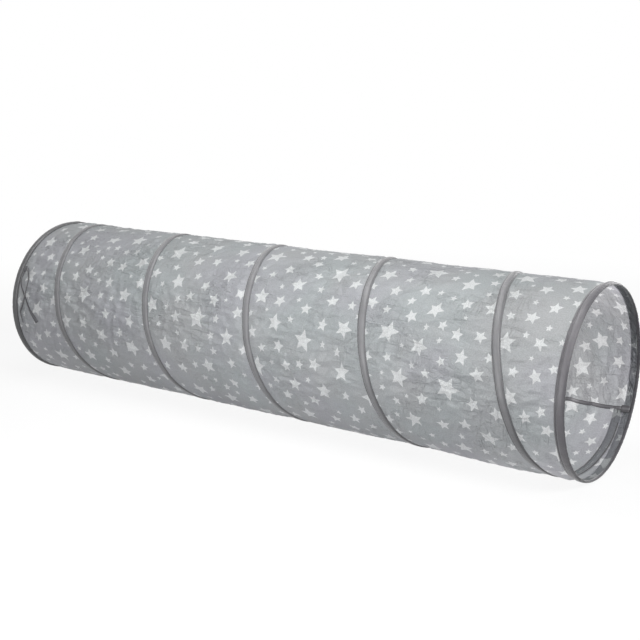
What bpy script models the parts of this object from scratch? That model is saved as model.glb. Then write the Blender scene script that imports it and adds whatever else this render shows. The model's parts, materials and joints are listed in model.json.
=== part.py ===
"""Pop-up play tunnel: one printed sheet held open by a sprung wire coil between two wire hoops.

The tunnel lies along X on the plane Z = 0, its far end at -X and its near end at +X.
Round pieces share one many-sided ring, turned so that a narrow flat lies on the ground.
"""
import math

import bmesh
import bpy
from mathutils import Matrix, Vector

# Tunnel
TUNNEL_LENGTH = 1.83
BORE_RADIUS = 0.232
SHEET_THICKNESS = 0.0005
TURN_COUNT = 5
ROUND_SIDES = 48
TOUCH_GAP = 0.0003

# Wire of the coil and the hoops, and the sleeves on its ends
WIRE_DIAMETER = 0.0025
WIRE_SIDES = 6
SLEEVE_WALL = 0.0004
SLEEVE_SIDES = 12
FERRULE_LENGTH = 0.024
HOOP_SPLIT = 0.0012
TIP_LENGTH = 0.010
TIP_END_WALL = 0.0016
COIL_END_INSET = 0.006
LEAD_IN_TURNS = 0.4
NEAR_LEVEL_TURNS = 0.03

# Casing tape that is sewn over the coil
TAPE_THICKNESS = 0.0006
CASING_WIDTH = 0.022
CASING_CHANNEL = 0.014
CASING_CROWN = 0.006

# Hem tape that is sewn over the hoops and folded round the sheet's edge
HEM_WIDTH = 0.026
HEM_EDGE = 0.004
HEM_CHANNEL = 0.014
HEM_CROWN = 0.007
HEM_LIP = 0.008

# Seam binding and its end patches, inside the tunnel
SEAM_TAPE_WIDTH = 0.010
SEAM_TAPE_THICKNESS = 0.0008
SEAM_PATCH_WIDTH = 0.018
SEAM_PATCH_LENGTH = 0.022

# Ties that hold the folded tunnel shut, sewn beside the far hem
TIE_WIDTH = 0.010
TIE_THICKNESS = 0.001
TIE_STEP = 0.012
ANCHOR_LENGTH = 0.008
ANCHOR_WIDTH = 0.016
ANCHOR_THICKNESS = 0.0034

# Flats of the ring, counted from the one on the ground, that carry a piece
SEAM_FLAT = 8
FERRULE_FLAT = 23
TIE_FLAT = 32

# Route of each tie: distance past the hem, drop below its anchor, height over the sheet
TIE_A_ROUTE = (
    (0.0091, 0.0000, 0.0018), (0.0180, -0.0010, 0.0055), (0.0270, 0.0020, 0.0090),
    (0.0360, 0.0090, 0.0115), (0.0430, 0.0185, 0.0125), (0.0462, 0.0290, 0.0125),
    (0.0462, 0.0400, 0.0125), (0.0452, 0.0520, 0.0125), (0.0440, 0.0640, 0.0125),
    (0.0422, 0.0760, 0.0125), (0.0385, 0.0920, 0.0125), (0.0320, 0.1090, 0.0125),
    (0.0250, 0.1225, 0.0125), (0.0256, 0.1330, 0.0125), (0.0295, 0.1420, 0.0125),
    (0.0328, 0.1505, 0.0125), (0.0356, 0.1600, 0.0125),
)
TIE_B_ROUTE = (
    (0.0043, 0.0076, 0.0011), (0.0046, 0.0170, 0.0035), (0.0072, 0.0285, 0.0070),
    (0.0125, 0.0415, 0.0087), (0.0215, 0.0555, 0.0087), (0.0325, 0.0695, 0.0087),
    (0.0415, 0.0810, 0.0087), (0.0490, 0.0920, 0.0087), (0.0556, 0.1035, 0.0087),
    (0.0630, 0.1155, 0.0087), (0.0725, 0.1270, 0.0087), (0.0840, 0.1385, 0.0087),
    (0.0955, 0.1515, 0.0087),
)

# Sizes that follow
FULL_TURN = 2.0 * math.pi
FLAT_ANGLE = FULL_TURN / ROUND_SIDES
HALF_FLAT = FLAT_ANGLE / 2.0
BOTTOM_ANGLE = -math.pi / 2.0
SHEET_RADIUS = BORE_RADIUS + SHEET_THICKNESS
TAPE_RADIUS = SHEET_RADIUS + TOUCH_GAP
WIRE_RADIUS = WIRE_DIAMETER / 2.0
SLEEVE_BORE = WIRE_RADIUS + TOUCH_GAP
SLEEVE_RADIUS = SLEEVE_BORE + SLEEVE_WALL
CHANNEL_HEIGHT = 2.0 * SLEEVE_RADIUS + TOUCH_GAP
CASING_HEIGHT = CHANNEL_HEIGHT + TAPE_THICKNESS
AXIS_HEIGHT = (TAPE_RADIUS + CASING_HEIGHT) * math.cos(HALF_FLAT)
FAR_END = -TUNNEL_LENGTH / 2.0
NEAR_END = TUNNEL_LENGTH / 2.0
HOOP_SETBACK = HEM_EDGE + HEM_CHANNEL / 2.0
COIL_PITCH = TUNNEL_LENGTH / TURN_COUNT
LEAD_ANGLE = math.atan2(COIL_PITCH, FULL_TURN * TAPE_RADIUS)
CASING_SPAN = CASING_WIDTH / math.cos(LEAD_ANGLE)
COIL_SETBACK = HEM_WIDTH + TOUCH_GAP + CASING_SPAN / 2.0
TURN_LENGTH = FULL_TURN * SHEET_RADIUS

# Colours of the cloth, the tape and the metal, with roughness and metallic value
SHEET_FINISH = ((0.40, 0.41, 0.42), 0.55, 0.0)
TAPE_FINISH = ((0.13, 0.13, 0.14), 0.75, 0.0)
BINDING_FINISH = ((0.10, 0.10, 0.11), 0.80, 0.0)
TIE_FINISH = ((0.07, 0.07, 0.08), 0.80, 0.0)
WIRE_FINISH = ((0.45, 0.45, 0.46), 0.35, 1.0)
FERRULE_FINISH = ((0.62, 0.62, 0.63), 0.40, 1.0)
TIP_FINISH = ((0.03, 0.03, 0.03), 0.50, 0.0)
SHARP_ANGLE = math.radians(35.0)


def clear_scene():
    """Remove whatever the file holds."""
    for obj in list(bpy.data.objects):
        bpy.data.objects.remove(obj, do_unlink=True)


def finish_material(name, finish):
    """A plain material with one colour, roughness and metallic value."""
    colour, roughness, metallic = finish
    material = bpy.data.materials.new(name)
    material.use_nodes = True
    shader = material.node_tree.nodes["Principled BSDF"]
    shader.inputs["Base Color"].default_value = (*colour, 1.0)
    shader.inputs["Roughness"].default_value = roughness
    shader.inputs["Metallic"].default_value = metallic
    return material


def add_object(name, bm, finish):
    """Turn a bmesh into a named object with its own material and smooth round faces."""
    bmesh.ops.recalc_face_normals(bm, faces=bm.faces)
    mesh = bpy.data.meshes.new(name)
    bm.to_mesh(mesh)
    bm.free()
    mesh.shade_smooth()
    mesh.set_sharp_from_angle(angle=SHARP_ANGLE)
    mesh.materials.append(finish_material(name + "_finish", finish))
    obj = bpy.data.objects.new(name, mesh)
    bpy.context.scene.collection.objects.link(obj)
    return obj


def flat_share(angle):
    """Share of its corner radius at which the many-sided ring lies at this angle."""
    past_corner = (angle - BOTTOM_ANGLE + HALF_FLAT) % FLAT_ANGLE
    return math.cos(HALF_FLAT) / math.cos(past_corner - HALF_FLAT)


def flat_angle(flat):
    """Angle of the middle of a flat, counted from the one on the ground."""
    return BOTTOM_ANGLE + flat * FLAT_ANGLE


def ring_point(along, radius, angle):
    """Point on a ring of this corner radius, at a distance along X and an angle about the axis."""
    reach = radius * flat_share(angle)
    return Vector((along, reach * math.cos(angle), AXIS_HEIGHT + reach * math.sin(angle)))


def near_setback(turns_left):
    """Distance from the near end of the wire's last part turn, which comes in and lies level beside the hem."""
    bend_turns = LEAD_IN_TURNS - NEAR_LEVEL_TURNS
    share = max(0.0, turns_left - NEAR_LEVEL_TURNS) / bend_turns
    rise = share * share * (3.0 - 2.0 * share)
    bend = share * share * (share - 1.0) * bend_turns
    return COIL_SETBACK * (1.0 - rise) + COIL_PITCH * (LEAD_IN_TURNS * rise + bend)


def coil_along(turn):
    """Distance along X of the coil's wire, a number of turns from its far end.

    The wire keeps one pitch, apart from its first and last part turn, where it runs in beside a hem.
    """
    if turn < LEAD_IN_TURNS:
        lead_in = COIL_SETBACK * (1.0 + math.cos(math.pi * turn / LEAD_IN_TURNS)) / 2.0
        return FAR_END + turn * COIL_PITCH + lead_in
    turns_left = TURN_COUNT - turn
    if turns_left < LEAD_IN_TURNS:
        return NEAR_END - near_setback(turns_left)
    return FAR_END + turn * COIL_PITCH


def stations(first, last):
    """Turns from the seam at which a piece has a cross-section: its ends and each corner between."""
    first_corner = math.ceil(first * ROUND_SIDES - 0.5)
    last_corner = math.floor(last * ROUND_SIDES - 0.5)
    corners = [(corner + 0.5) / ROUND_SIDES for corner in range(first_corner, last_corner + 1)]
    return [first] + corners + [last]


def wound_body(name, finish, outline, centre, span=None):
    """Carry a closed outline round the axis, as a closed ring or, over a span of turns, as a strip.

    Outline points are (distance along X from the centre line, height over the tape's radius).
    """
    if span is None:
        turns = [(corner + 0.5) / ROUND_SIDES for corner in range(ROUND_SIDES)]
    else:
        turns = stations(*span)
    bm = bmesh.new()
    rings = []
    for turn in turns:
        angle = flat_angle(SEAM_FLAT) + FULL_TURN * turn
        ring = []
        for along, height in outline:
            ring.append(bm.verts.new(ring_point(centre(turn) + along, TAPE_RADIUS + height, angle)))
        rings.append(ring)
    pairs = list(zip(rings, rings[1:]))
    if span is None:
        pairs.append((rings[-1], rings[0]))
    else:
        bm.faces.new(rings[0])
        bm.faces.new(rings[-1])
    for near_ring, far_ring in pairs:
        for index in range(len(outline)):
            corners = (near_ring[index - 1], near_ring[index], far_ring[index], far_ring[index - 1])
            bm.faces.new(corners)
    return add_object(name, bm, finish)


def casing_outline():
    """Cross-section of the coil's tape: a flange each side and a raised channel over the wire."""
    edge = CASING_SPAN / 2.0
    foot = CASING_CHANNEL / 2.0
    crown = CASING_CROWN / 2.0
    inner_foot = foot - TAPE_THICKNESS
    inner_crown = crown - TAPE_THICKNESS / 2.0
    right = [
        (inner_crown, CHANNEL_HEIGHT), (inner_foot, 0.0), (edge, 0.0), (edge, TAPE_THICKNESS),
        (foot, TAPE_THICKNESS), (crown, CASING_HEIGHT),
    ]
    left = [(-along, height) for along, height in reversed(right)]
    return right + left


def hem_outline(inward):
    """Cross-section of a hem, from the tunnel's end: fold, channel over the hoop, flange and lip.

    Inward is 1 where the tunnel lies at +X of its end, and -1 where it lies at -X.
    """
    foot_a = HEM_EDGE
    foot_b = HEM_EDGE + HEM_CHANNEL
    crown_a = HOOP_SETBACK - HEM_CROWN / 2.0
    crown_b = HOOP_SETBACK + HEM_CROWN / 2.0
    inner_side = -(SHEET_THICKNESS + 2.0 * TOUCH_GAP)
    points = [
        (HEM_LIP, inner_side - TAPE_THICKNESS),
        (0.0, inner_side - TAPE_THICKNESS),
        (0.0, TAPE_THICKNESS),
        (foot_a, TAPE_THICKNESS),
        (crown_a, CASING_HEIGHT),
        (crown_b, CASING_HEIGHT),
        (foot_b, TAPE_THICKNESS),
        (HEM_WIDTH, TAPE_THICKNESS),
        (HEM_WIDTH, 0.0),
        (foot_b - TAPE_THICKNESS, 0.0),
        (crown_b - TAPE_THICKNESS / 2.0, CHANNEL_HEIGHT),
        (crown_a + TAPE_THICKNESS / 2.0, CHANNEL_HEIGHT),
        (foot_a + TAPE_THICKNESS, 0.0),
        (TAPE_THICKNESS, 0.0),
        (TAPE_THICKNESS, inner_side),
        (HEM_LIP, inner_side),
    ]
    return [(inward * along, height) for along, height in points]


def wire_outline():
    """Cross-section of the wire, centred where a sleeve round it fills the channel."""
    points = []
    for side in range(WIRE_SIDES):
        angle = FULL_TURN * side / WIRE_SIDES
        points.append((WIRE_RADIUS * math.cos(angle), SLEEVE_RADIUS + WIRE_RADIUS * math.sin(angle)))
    return points


def add_sheet():
    """The printed sheet, a thin tube whose edges lie inside the hems' folds."""
    reach = TUNNEL_LENGTH / 2.0 - TAPE_THICKNESS - TOUCH_GAP
    outer = -TOUCH_GAP
    inner = outer - SHEET_THICKNESS
    outline = [(-reach, inner), (reach, inner), (reach, outer), (-reach, outer)]
    wound_body("fabric_tube", SHEET_FINISH, outline, lambda turn: 0.0)


def add_casings():
    """One length of casing tape for each turn of the coil, each from the seam to the seam."""
    half_gap = TOUCH_GAP / 2.0 / TURN_LENGTH
    for turn in range(TURN_COUNT):
        name = "casing_{}".format(turn + 1)
        span = (turn + half_gap, turn + 1.0 - half_gap)
        wound_body(name, TAPE_FINISH, casing_outline(), coil_along, span)


def coil_span():
    """First and last turn of the coil's wire, which ends a little inside its casing."""
    inset = COIL_END_INSET / TURN_LENGTH
    return inset, TURN_COUNT - inset


def add_coil():
    """The sprung wire, one unbroken tube from the far seam end to the near one."""
    span = coil_span()
    wound_body("coil_wire", WIRE_FINISH, wire_outline(), coil_along, span)
    centres = []
    for turn in stations(*span):
        angle = flat_angle(SEAM_FLAT) + FULL_TURN * turn
        centres.append(ring_point(coil_along(turn), TAPE_RADIUS + SLEEVE_RADIUS, angle))
    apart = ROUND_SIDES // 2
    gaps = []
    for index, point in enumerate(centres):
        for other in centres[index + apart:]:
            gaps.append((point - other).length - WIRE_DIAMETER)
    print("least gap of the coil to itself, mm:", round(min(gaps) * 1000.0, 1))


def add_hoop(end_name, end, inward):
    """One end's hoop wire, its ferrule over the split, and the hem sewn round both."""
    centre = end + inward * HOOP_SETBACK
    ferrule_turn = (FERRULE_FLAT - SEAM_FLAT) / ROUND_SIDES
    half_split = HOOP_SPLIT / 2.0 / TURN_LENGTH
    span = (ferrule_turn + half_split, ferrule_turn + 1.0 - half_split)
    wound_body(end_name + "_hoop_wire", WIRE_FINISH, wire_outline(), lambda turn: centre, span)
    wound_body(end_name + "_hem_casing", TAPE_FINISH, hem_outline(inward), lambda turn: end)
    half = FERRULE_LENGTH / 2.0
    outline = [(SLEEVE_BORE, -half), (SLEEVE_RADIUS, -half), (SLEEVE_RADIUS, half), (SLEEVE_BORE, half)]
    ferrule = turned_body(end_name + "_ferrule", FERRULE_FINISH, outline)
    angle = flat_angle(FERRULE_FLAT)
    ferrule.location = ring_point(centre, TAPE_RADIUS + SLEEVE_RADIUS, angle)
    ferrule.rotation_euler = (angle, 0.0, 0.0)


def turned_body(name, finish, outline, closed=True):
    """Turn an outline of (radius, height) points about Z. An open one ends on the axis, both ends."""
    bm = bmesh.new()
    rings = []
    for radius, height in outline:
        if radius == 0.0:
            rings.append([bm.verts.new((0.0, 0.0, height))] * SLEEVE_SIDES)
            continue
        ring = []
        for side in range(SLEEVE_SIDES):
            angle = FULL_TURN * side / SLEEVE_SIDES
            ring.append(bm.verts.new((radius * math.cos(angle), radius * math.sin(angle), height)))
        rings.append(ring)
    pairs = list(zip(rings, rings[1:]))
    if closed:
        pairs.append((rings[-1], rings[0]))
    for lower, upper in pairs:
        for side in range(SLEEVE_SIDES):
            loop = [lower[side - 1], lower[side], upper[side], upper[side - 1]]
            corners = list(dict.fromkeys(loop))
            bm.faces.new(corners)
    return add_object(name, bm, finish)


def add_tip(name, end_turn, corner_turn):
    """A plastic cap over one end of the coil's wire, in line with the wire's last straight run."""
    outline = [
        (0.0, TIP_END_WALL), (SLEEVE_BORE, TIP_END_WALL), (SLEEVE_BORE, TIP_LENGTH),
        (SLEEVE_RADIUS, TIP_LENGTH), (SLEEVE_RADIUS, 0.0), (0.0, 0.0),
    ]
    tip = turned_body(name, TIP_FINISH, outline, closed=False)
    seam = flat_angle(SEAM_FLAT)
    radius = TAPE_RADIUS + SLEEVE_RADIUS
    wire_end = ring_point(coil_along(end_turn), radius, seam + FULL_TURN * end_turn)
    wire_corner = ring_point(coil_along(corner_turn), radius, seam + FULL_TURN * corner_turn)
    run = (wire_corner - wire_end).normalized()
    tip.location = wire_end - run * (TIP_END_WALL + TOUCH_GAP)
    tip.rotation_mode = "QUATERNION"
    tip.rotation_quaternion = run.to_track_quat("Z", "Y")


def add_tips():
    """The caps on both ends of the coil."""
    first, last = coil_span()
    add_tip("far_coil_tip", first, 0.5 / ROUND_SIDES)
    add_tip("near_coil_tip", last, TURN_COUNT - 0.5 / ROUND_SIDES)


def add_flat_patch(name, finish, size, along, depth, flat):
    """A flat block on a flat of the ring. Depth is its outer face's height over the sheet's radius."""
    length, width, thickness = size
    bm = bmesh.new()
    bmesh.ops.create_cube(bm, size=1.0, matrix=Matrix.Diagonal((length, width, thickness, 1.0)))
    patch = add_object(name, bm, finish)
    angle = flat_angle(flat)
    patch.location = ring_point(along, SHEET_RADIUS, angle)
    outward = Vector((0.0, math.cos(angle), math.sin(angle)))
    patch.location += outward * (depth - thickness / 2.0)
    patch.rotation_euler = (angle - math.pi / 2.0, 0.0, 0.0)
    return patch


def add_seam():
    """The binding tape over the sheet's seam, inside, and a patch between it and each hem's lip."""
    depth = -(SHEET_THICKNESS + TOUCH_GAP)
    patch_setback = HEM_LIP + TOUCH_GAP + SEAM_PATCH_LENGTH / 2.0
    patch_size = (SEAM_PATCH_LENGTH, SEAM_PATCH_WIDTH, SEAM_TAPE_THICKNESS)
    tape_setback = HEM_LIP + SEAM_PATCH_LENGTH + 2.0 * TOUCH_GAP
    tape_size = (TUNNEL_LENGTH - 2.0 * tape_setback, SEAM_TAPE_WIDTH, SEAM_TAPE_THICKNESS)
    far_place = FAR_END + patch_setback
    near_place = NEAR_END - patch_setback
    add_flat_patch("far_seam_patch", BINDING_FINISH, patch_size, far_place, depth, SEAM_FLAT)
    add_flat_patch("near_seam_patch", BINDING_FINISH, patch_size, near_place, depth, SEAM_FLAT)
    add_flat_patch("seam_tape", BINDING_FINISH, tape_size, 0.0, depth, SEAM_FLAT)


def tie_point(route_point):
    """World point of a tie's route. Above the axis it follows the sheet; below, it hangs."""
    past_hem, drop, lift = route_point
    reach = SHEET_RADIUS + lift
    anchor_height = SHEET_RADIUS * math.cos(HALF_FLAT) * math.sin(flat_angle(TIE_FLAT))
    height = anchor_height - drop
    across = math.sqrt(reach * reach - max(height, 0.0) ** 2)
    return Vector((FAR_END + HEM_WIDTH + past_hem, -across, AXIS_HEIGHT + height))


def smooth_route(points):
    """Points a step apart on a smooth curve through the route's own points."""
    ends = [2.0 * points[0] - points[1]] + points + [2.0 * points[-1] - points[-2]]
    curve = []
    for before, start, end, after in zip(ends, ends[1:], ends[2:], ends[3:]):
        count = max(1, round((end - start).length / TIE_STEP))
        for step in range(count):
            share = step / count
            pull = 2.0 * start + (end - before) * share
            pull += (2.0 * before - 5.0 * start + 4.0 * end - after) * share ** 2
            pull += (3.0 * start - before - 3.0 * end + after) * share ** 3
            curve.append(pull / 2.0)
    curve.append(points[-1])
    return curve


def add_tie(name, route, leaving):
    """A flat tape along its route, its face turned away from the tunnel's axis."""
    curve = smooth_route([tie_point(point) for point in route])
    bm = bmesh.new()
    rings = []
    for index, point in enumerate(curve):
        before = curve[max(index - 1, 0)]
        after = curve[min(index + 1, len(curve) - 1)]
        run = (after - before).normalized()
        if index == 0:
            run = leaving
        face = Vector((0.0, point.y, max(point.z - AXIS_HEIGHT, 0.0))).normalized()
        side = run.cross(face).normalized() * (TIE_WIDTH / 2.0)
        lift = side.cross(run).normalized() * (TIE_THICKNESS / 2.0)
        corners = (point - side - lift, point + side - lift, point + side + lift, point - side + lift)
        rings.append([bm.verts.new(corner) for corner in corners])
    for near_ring, far_ring in zip(rings, rings[1:]):
        for index in range(len(near_ring)):
            loop = (near_ring[index - 1], near_ring[index], far_ring[index], far_ring[index - 1])
            bm.faces.new(loop)
    bm.faces.new(rings[0])
    bm.faces.new(rings[-1])
    add_object(name, bm, TIE_FINISH)


def add_ties():
    """The stitched anchor beside the far hem and the two tapes that leave it."""
    along = FAR_END + HEM_WIDTH + TOUCH_GAP + ANCHOR_LENGTH / 2.0
    size = (ANCHOR_LENGTH, ANCHOR_WIDTH, ANCHOR_THICKNESS)
    depth = TOUCH_GAP + ANCHOR_THICKNESS
    add_flat_patch("tie_anchor", TIE_FINISH, size, along, depth, TIE_FLAT)
    angle = flat_angle(TIE_FLAT)
    add_tie("tie_a", TIE_A_ROUTE, Vector((1.0, 0.0, 0.0)))
    add_tie("tie_b", TIE_B_ROUTE, Vector((0.0, -math.sin(angle), math.cos(angle))))


def main():
    """Build every piece of the tunnel."""
    clear_scene()
    add_sheet()
    add_casings()
    add_coil()
    add_tips()
    add_hoop("far", FAR_END, 1.0)
    add_hoop("near", NEAR_END, -1.0)
    add_seam()
    add_ties()


main()
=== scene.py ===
"""The dressed play tunnel: printed sheet, sewn casings, hems, seam binding, wires and ties."""

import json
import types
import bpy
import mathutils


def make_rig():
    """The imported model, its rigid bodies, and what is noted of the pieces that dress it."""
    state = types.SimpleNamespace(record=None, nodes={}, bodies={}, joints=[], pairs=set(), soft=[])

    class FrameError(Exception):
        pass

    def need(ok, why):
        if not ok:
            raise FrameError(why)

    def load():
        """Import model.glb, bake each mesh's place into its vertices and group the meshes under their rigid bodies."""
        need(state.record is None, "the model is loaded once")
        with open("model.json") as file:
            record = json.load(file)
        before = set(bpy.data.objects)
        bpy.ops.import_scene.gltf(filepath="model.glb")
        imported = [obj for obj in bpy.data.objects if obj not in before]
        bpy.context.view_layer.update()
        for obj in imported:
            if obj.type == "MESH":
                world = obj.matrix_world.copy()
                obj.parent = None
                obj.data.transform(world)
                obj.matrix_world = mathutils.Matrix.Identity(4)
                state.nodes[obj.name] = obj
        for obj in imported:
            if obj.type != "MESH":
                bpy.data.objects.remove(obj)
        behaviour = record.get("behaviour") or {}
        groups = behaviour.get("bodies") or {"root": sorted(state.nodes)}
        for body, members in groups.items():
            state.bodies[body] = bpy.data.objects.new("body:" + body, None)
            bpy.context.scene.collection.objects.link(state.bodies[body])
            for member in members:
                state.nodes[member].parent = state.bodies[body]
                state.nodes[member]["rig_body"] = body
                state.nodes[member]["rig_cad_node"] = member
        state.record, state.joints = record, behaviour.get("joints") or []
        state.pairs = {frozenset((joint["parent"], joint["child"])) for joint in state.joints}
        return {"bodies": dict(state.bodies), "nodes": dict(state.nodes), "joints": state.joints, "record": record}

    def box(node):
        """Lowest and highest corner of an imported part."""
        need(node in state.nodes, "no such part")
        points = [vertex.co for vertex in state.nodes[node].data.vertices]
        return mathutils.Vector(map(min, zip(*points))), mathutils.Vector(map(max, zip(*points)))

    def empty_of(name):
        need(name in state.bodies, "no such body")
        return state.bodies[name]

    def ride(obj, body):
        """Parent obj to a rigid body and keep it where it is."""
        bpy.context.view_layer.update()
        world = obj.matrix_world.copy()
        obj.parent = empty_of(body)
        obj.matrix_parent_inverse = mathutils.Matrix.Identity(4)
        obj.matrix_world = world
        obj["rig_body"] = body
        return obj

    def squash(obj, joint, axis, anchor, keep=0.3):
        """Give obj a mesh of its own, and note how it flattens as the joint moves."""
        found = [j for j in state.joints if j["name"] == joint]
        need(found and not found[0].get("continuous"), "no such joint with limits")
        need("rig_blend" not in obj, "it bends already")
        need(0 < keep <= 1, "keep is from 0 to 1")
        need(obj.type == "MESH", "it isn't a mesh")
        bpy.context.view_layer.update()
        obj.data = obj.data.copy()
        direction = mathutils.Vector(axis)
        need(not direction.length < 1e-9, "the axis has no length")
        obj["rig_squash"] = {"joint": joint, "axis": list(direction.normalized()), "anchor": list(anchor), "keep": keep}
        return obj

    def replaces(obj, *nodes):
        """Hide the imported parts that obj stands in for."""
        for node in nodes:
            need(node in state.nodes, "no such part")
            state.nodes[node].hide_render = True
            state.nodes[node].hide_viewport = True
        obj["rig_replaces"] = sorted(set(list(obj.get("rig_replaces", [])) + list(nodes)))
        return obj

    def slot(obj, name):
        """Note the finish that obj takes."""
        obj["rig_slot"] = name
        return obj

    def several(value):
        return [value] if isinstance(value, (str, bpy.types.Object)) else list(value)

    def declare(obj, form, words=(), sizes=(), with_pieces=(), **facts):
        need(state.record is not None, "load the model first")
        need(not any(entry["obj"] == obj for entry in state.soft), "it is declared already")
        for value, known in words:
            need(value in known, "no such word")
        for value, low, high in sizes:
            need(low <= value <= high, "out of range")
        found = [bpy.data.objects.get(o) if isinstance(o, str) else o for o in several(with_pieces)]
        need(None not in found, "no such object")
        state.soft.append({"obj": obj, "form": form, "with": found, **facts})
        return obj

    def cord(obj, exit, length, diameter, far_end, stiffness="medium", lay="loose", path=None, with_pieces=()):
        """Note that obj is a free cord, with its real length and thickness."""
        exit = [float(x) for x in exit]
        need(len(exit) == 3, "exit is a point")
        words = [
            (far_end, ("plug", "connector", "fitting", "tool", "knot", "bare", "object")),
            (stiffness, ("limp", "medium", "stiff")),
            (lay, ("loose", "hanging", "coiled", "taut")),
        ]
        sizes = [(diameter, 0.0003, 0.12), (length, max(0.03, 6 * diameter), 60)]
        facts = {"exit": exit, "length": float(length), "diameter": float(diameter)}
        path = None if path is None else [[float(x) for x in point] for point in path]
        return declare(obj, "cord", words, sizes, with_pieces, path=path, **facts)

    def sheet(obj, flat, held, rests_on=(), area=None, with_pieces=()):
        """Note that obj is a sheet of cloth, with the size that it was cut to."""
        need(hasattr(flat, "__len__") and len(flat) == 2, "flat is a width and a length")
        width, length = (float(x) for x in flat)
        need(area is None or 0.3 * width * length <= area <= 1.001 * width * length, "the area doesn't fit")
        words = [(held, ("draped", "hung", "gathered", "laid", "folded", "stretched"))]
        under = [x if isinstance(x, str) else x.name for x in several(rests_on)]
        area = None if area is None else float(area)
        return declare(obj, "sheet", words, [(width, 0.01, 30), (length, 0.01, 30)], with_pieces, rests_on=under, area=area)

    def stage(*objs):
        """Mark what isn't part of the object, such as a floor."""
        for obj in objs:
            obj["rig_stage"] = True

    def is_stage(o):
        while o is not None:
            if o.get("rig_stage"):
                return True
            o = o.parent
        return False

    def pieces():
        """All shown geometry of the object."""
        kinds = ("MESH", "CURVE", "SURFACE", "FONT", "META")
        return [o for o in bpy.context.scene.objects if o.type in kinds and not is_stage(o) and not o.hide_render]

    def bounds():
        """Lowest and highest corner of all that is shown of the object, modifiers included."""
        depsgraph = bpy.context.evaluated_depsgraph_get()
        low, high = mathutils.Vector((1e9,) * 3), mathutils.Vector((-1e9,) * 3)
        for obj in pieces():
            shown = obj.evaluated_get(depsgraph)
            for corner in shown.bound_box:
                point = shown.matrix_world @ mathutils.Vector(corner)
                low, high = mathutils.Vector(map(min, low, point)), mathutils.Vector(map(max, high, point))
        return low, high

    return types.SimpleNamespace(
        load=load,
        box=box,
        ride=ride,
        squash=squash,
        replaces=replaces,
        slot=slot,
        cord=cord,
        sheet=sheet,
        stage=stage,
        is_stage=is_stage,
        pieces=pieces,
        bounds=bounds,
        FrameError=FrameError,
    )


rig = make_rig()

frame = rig.load()
import json
import math

import bpy
import numpy as np
from mathutils import Vector

cad_low, cad_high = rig.bounds()

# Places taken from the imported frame
FAR_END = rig.box("far_hem_casing")[0].x
NEAR_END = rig.box("near_hem_casing")[1].x
SHEET_LOW, SHEET_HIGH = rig.box("fabric_tube")
AXIS_HEIGHT = (SHEET_LOW.z + SHEET_HIGH.z) / 2.0
SHEET_RADIUS = (SHEET_HIGH.z - SHEET_LOW.z) / 2.0
HEM_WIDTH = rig.box("far_hem_casing")[1].x - FAR_END
OUTER_RADIUS = AXIS_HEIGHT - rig.box("far_hem_casing")[0].z
TRAVEL = -frame["joints"][0]["range_m"][0]
TUNNEL_LENGTH = NEAR_END - FAR_END
# Each end: its name, its place and the way into the tunnel
ENDS = (("far", FAR_END, 1.0), ("near", NEAR_END, -1.0))

# Sizes shared with the solids
TURN_COUNT = 5
LEAD_IN_TURNS = 0.4
NEAR_LEVEL_TURNS = 0.03
SEAM_ANGLE = math.radians(-30.0)
FERRULE_ANGLE = math.radians(82.5)
TIE_ANGLE = math.radians(150.0)
CASING_WIDTH = 0.022
TAPE_THICKNESS = 0.0006
TOUCH_GAP = 0.0003
WIRE_RADIUS = 0.00125
SLEEVE_RADIUS = 0.00195
FERRULE_LENGTH = 0.024
TIP_LENGTH = 0.010
COIL_END_INSET = 0.006
HOOP_SETBACK = 0.011
HOOP_SPLIT = 0.0012
HEM_LIP = 0.008
SEAM_TAPE_WIDTH = 0.010
SEAM_PATCH_WIDTH = 0.018
SEAM_PATCH_LENGTH = 0.022
TIE_WIDTH = 0.010
TIE_THICKNESS = 0.0009
ANCHOR_LENGTH = 0.008
ANCHOR_WIDTH = 0.016
ANCHOR_HEIGHT = 0.0034

# Sizes that follow
FULL_TURN = 2.0 * math.pi
SHEET_TURN = FULL_TURN * SHEET_RADIUS
COIL_PITCH = TUNNEL_LENGTH / TURN_COUNT
LEAD_ANGLE = math.atan2(COIL_PITCH, SHEET_TURN)
CASING_SPAN = CASING_WIDTH / math.cos(LEAD_ANGLE)
COIL_SETBACK = HEM_WIDTH + TOUCH_GAP + CASING_SPAN / 2.0
TAPE_RADIUS = SHEET_RADIUS + TAPE_THICKNESS
TAPE_TURN = FULL_TURN * TAPE_RADIUS
CROWN_HEIGHT = OUTER_RADIUS - TAPE_RADIUS
FERRULE_TURNS = (FERRULE_ANGLE - SEAM_ANGLE) / FULL_TURN
TIE_TURNS = (TIE_ANGLE - SEAM_ANGLE) / FULL_TURN

# The folded coil and casings lie between the two hems
FOLD_MARGIN = 0.030
FOLD_LENGTH = TUNNEL_LENGTH - 2.0 * FOLD_MARGIN
FOLDED_SHARE = 1.0 - TRAVEL / FOLD_LENGTH

# The sheet stops halfway under each hem, where a printed facing goes on
SHEET_INSET = 0.013
FACING_WIDTH = 0.0235
FACING_DEPTH = 0.0005
SHEET_LENGTH = TUNNEL_LENGTH - 2.0 * SHEET_INSET
SHEET_FOLDED_SHARE = 1.0 - TRAVEL / SHEET_LENGTH
SEAM_ALLOWANCE = 0.02

# Lean of each end's hoop along X, per metre across and per metre up, and how far in it fades
LEANS = ((FAR_END, -0.0075, 0.0423), (NEAR_END, -0.0190, 0.0020))
LEAN_REACH = 0.35

# Camera, fitted to the outline of the tunnel in the photograph
CAMERA_PLACE = (1.9128, -2.4898, 0.9574)
CAMERA_YAW = math.radians(36.184)
CAMERA_PITCH = math.radians(-12.359)
FOCAL_PIXELS = 1155.1
FRAME_PIXELS = 640.0
SENSOR_WIDTH = 36.0


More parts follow.
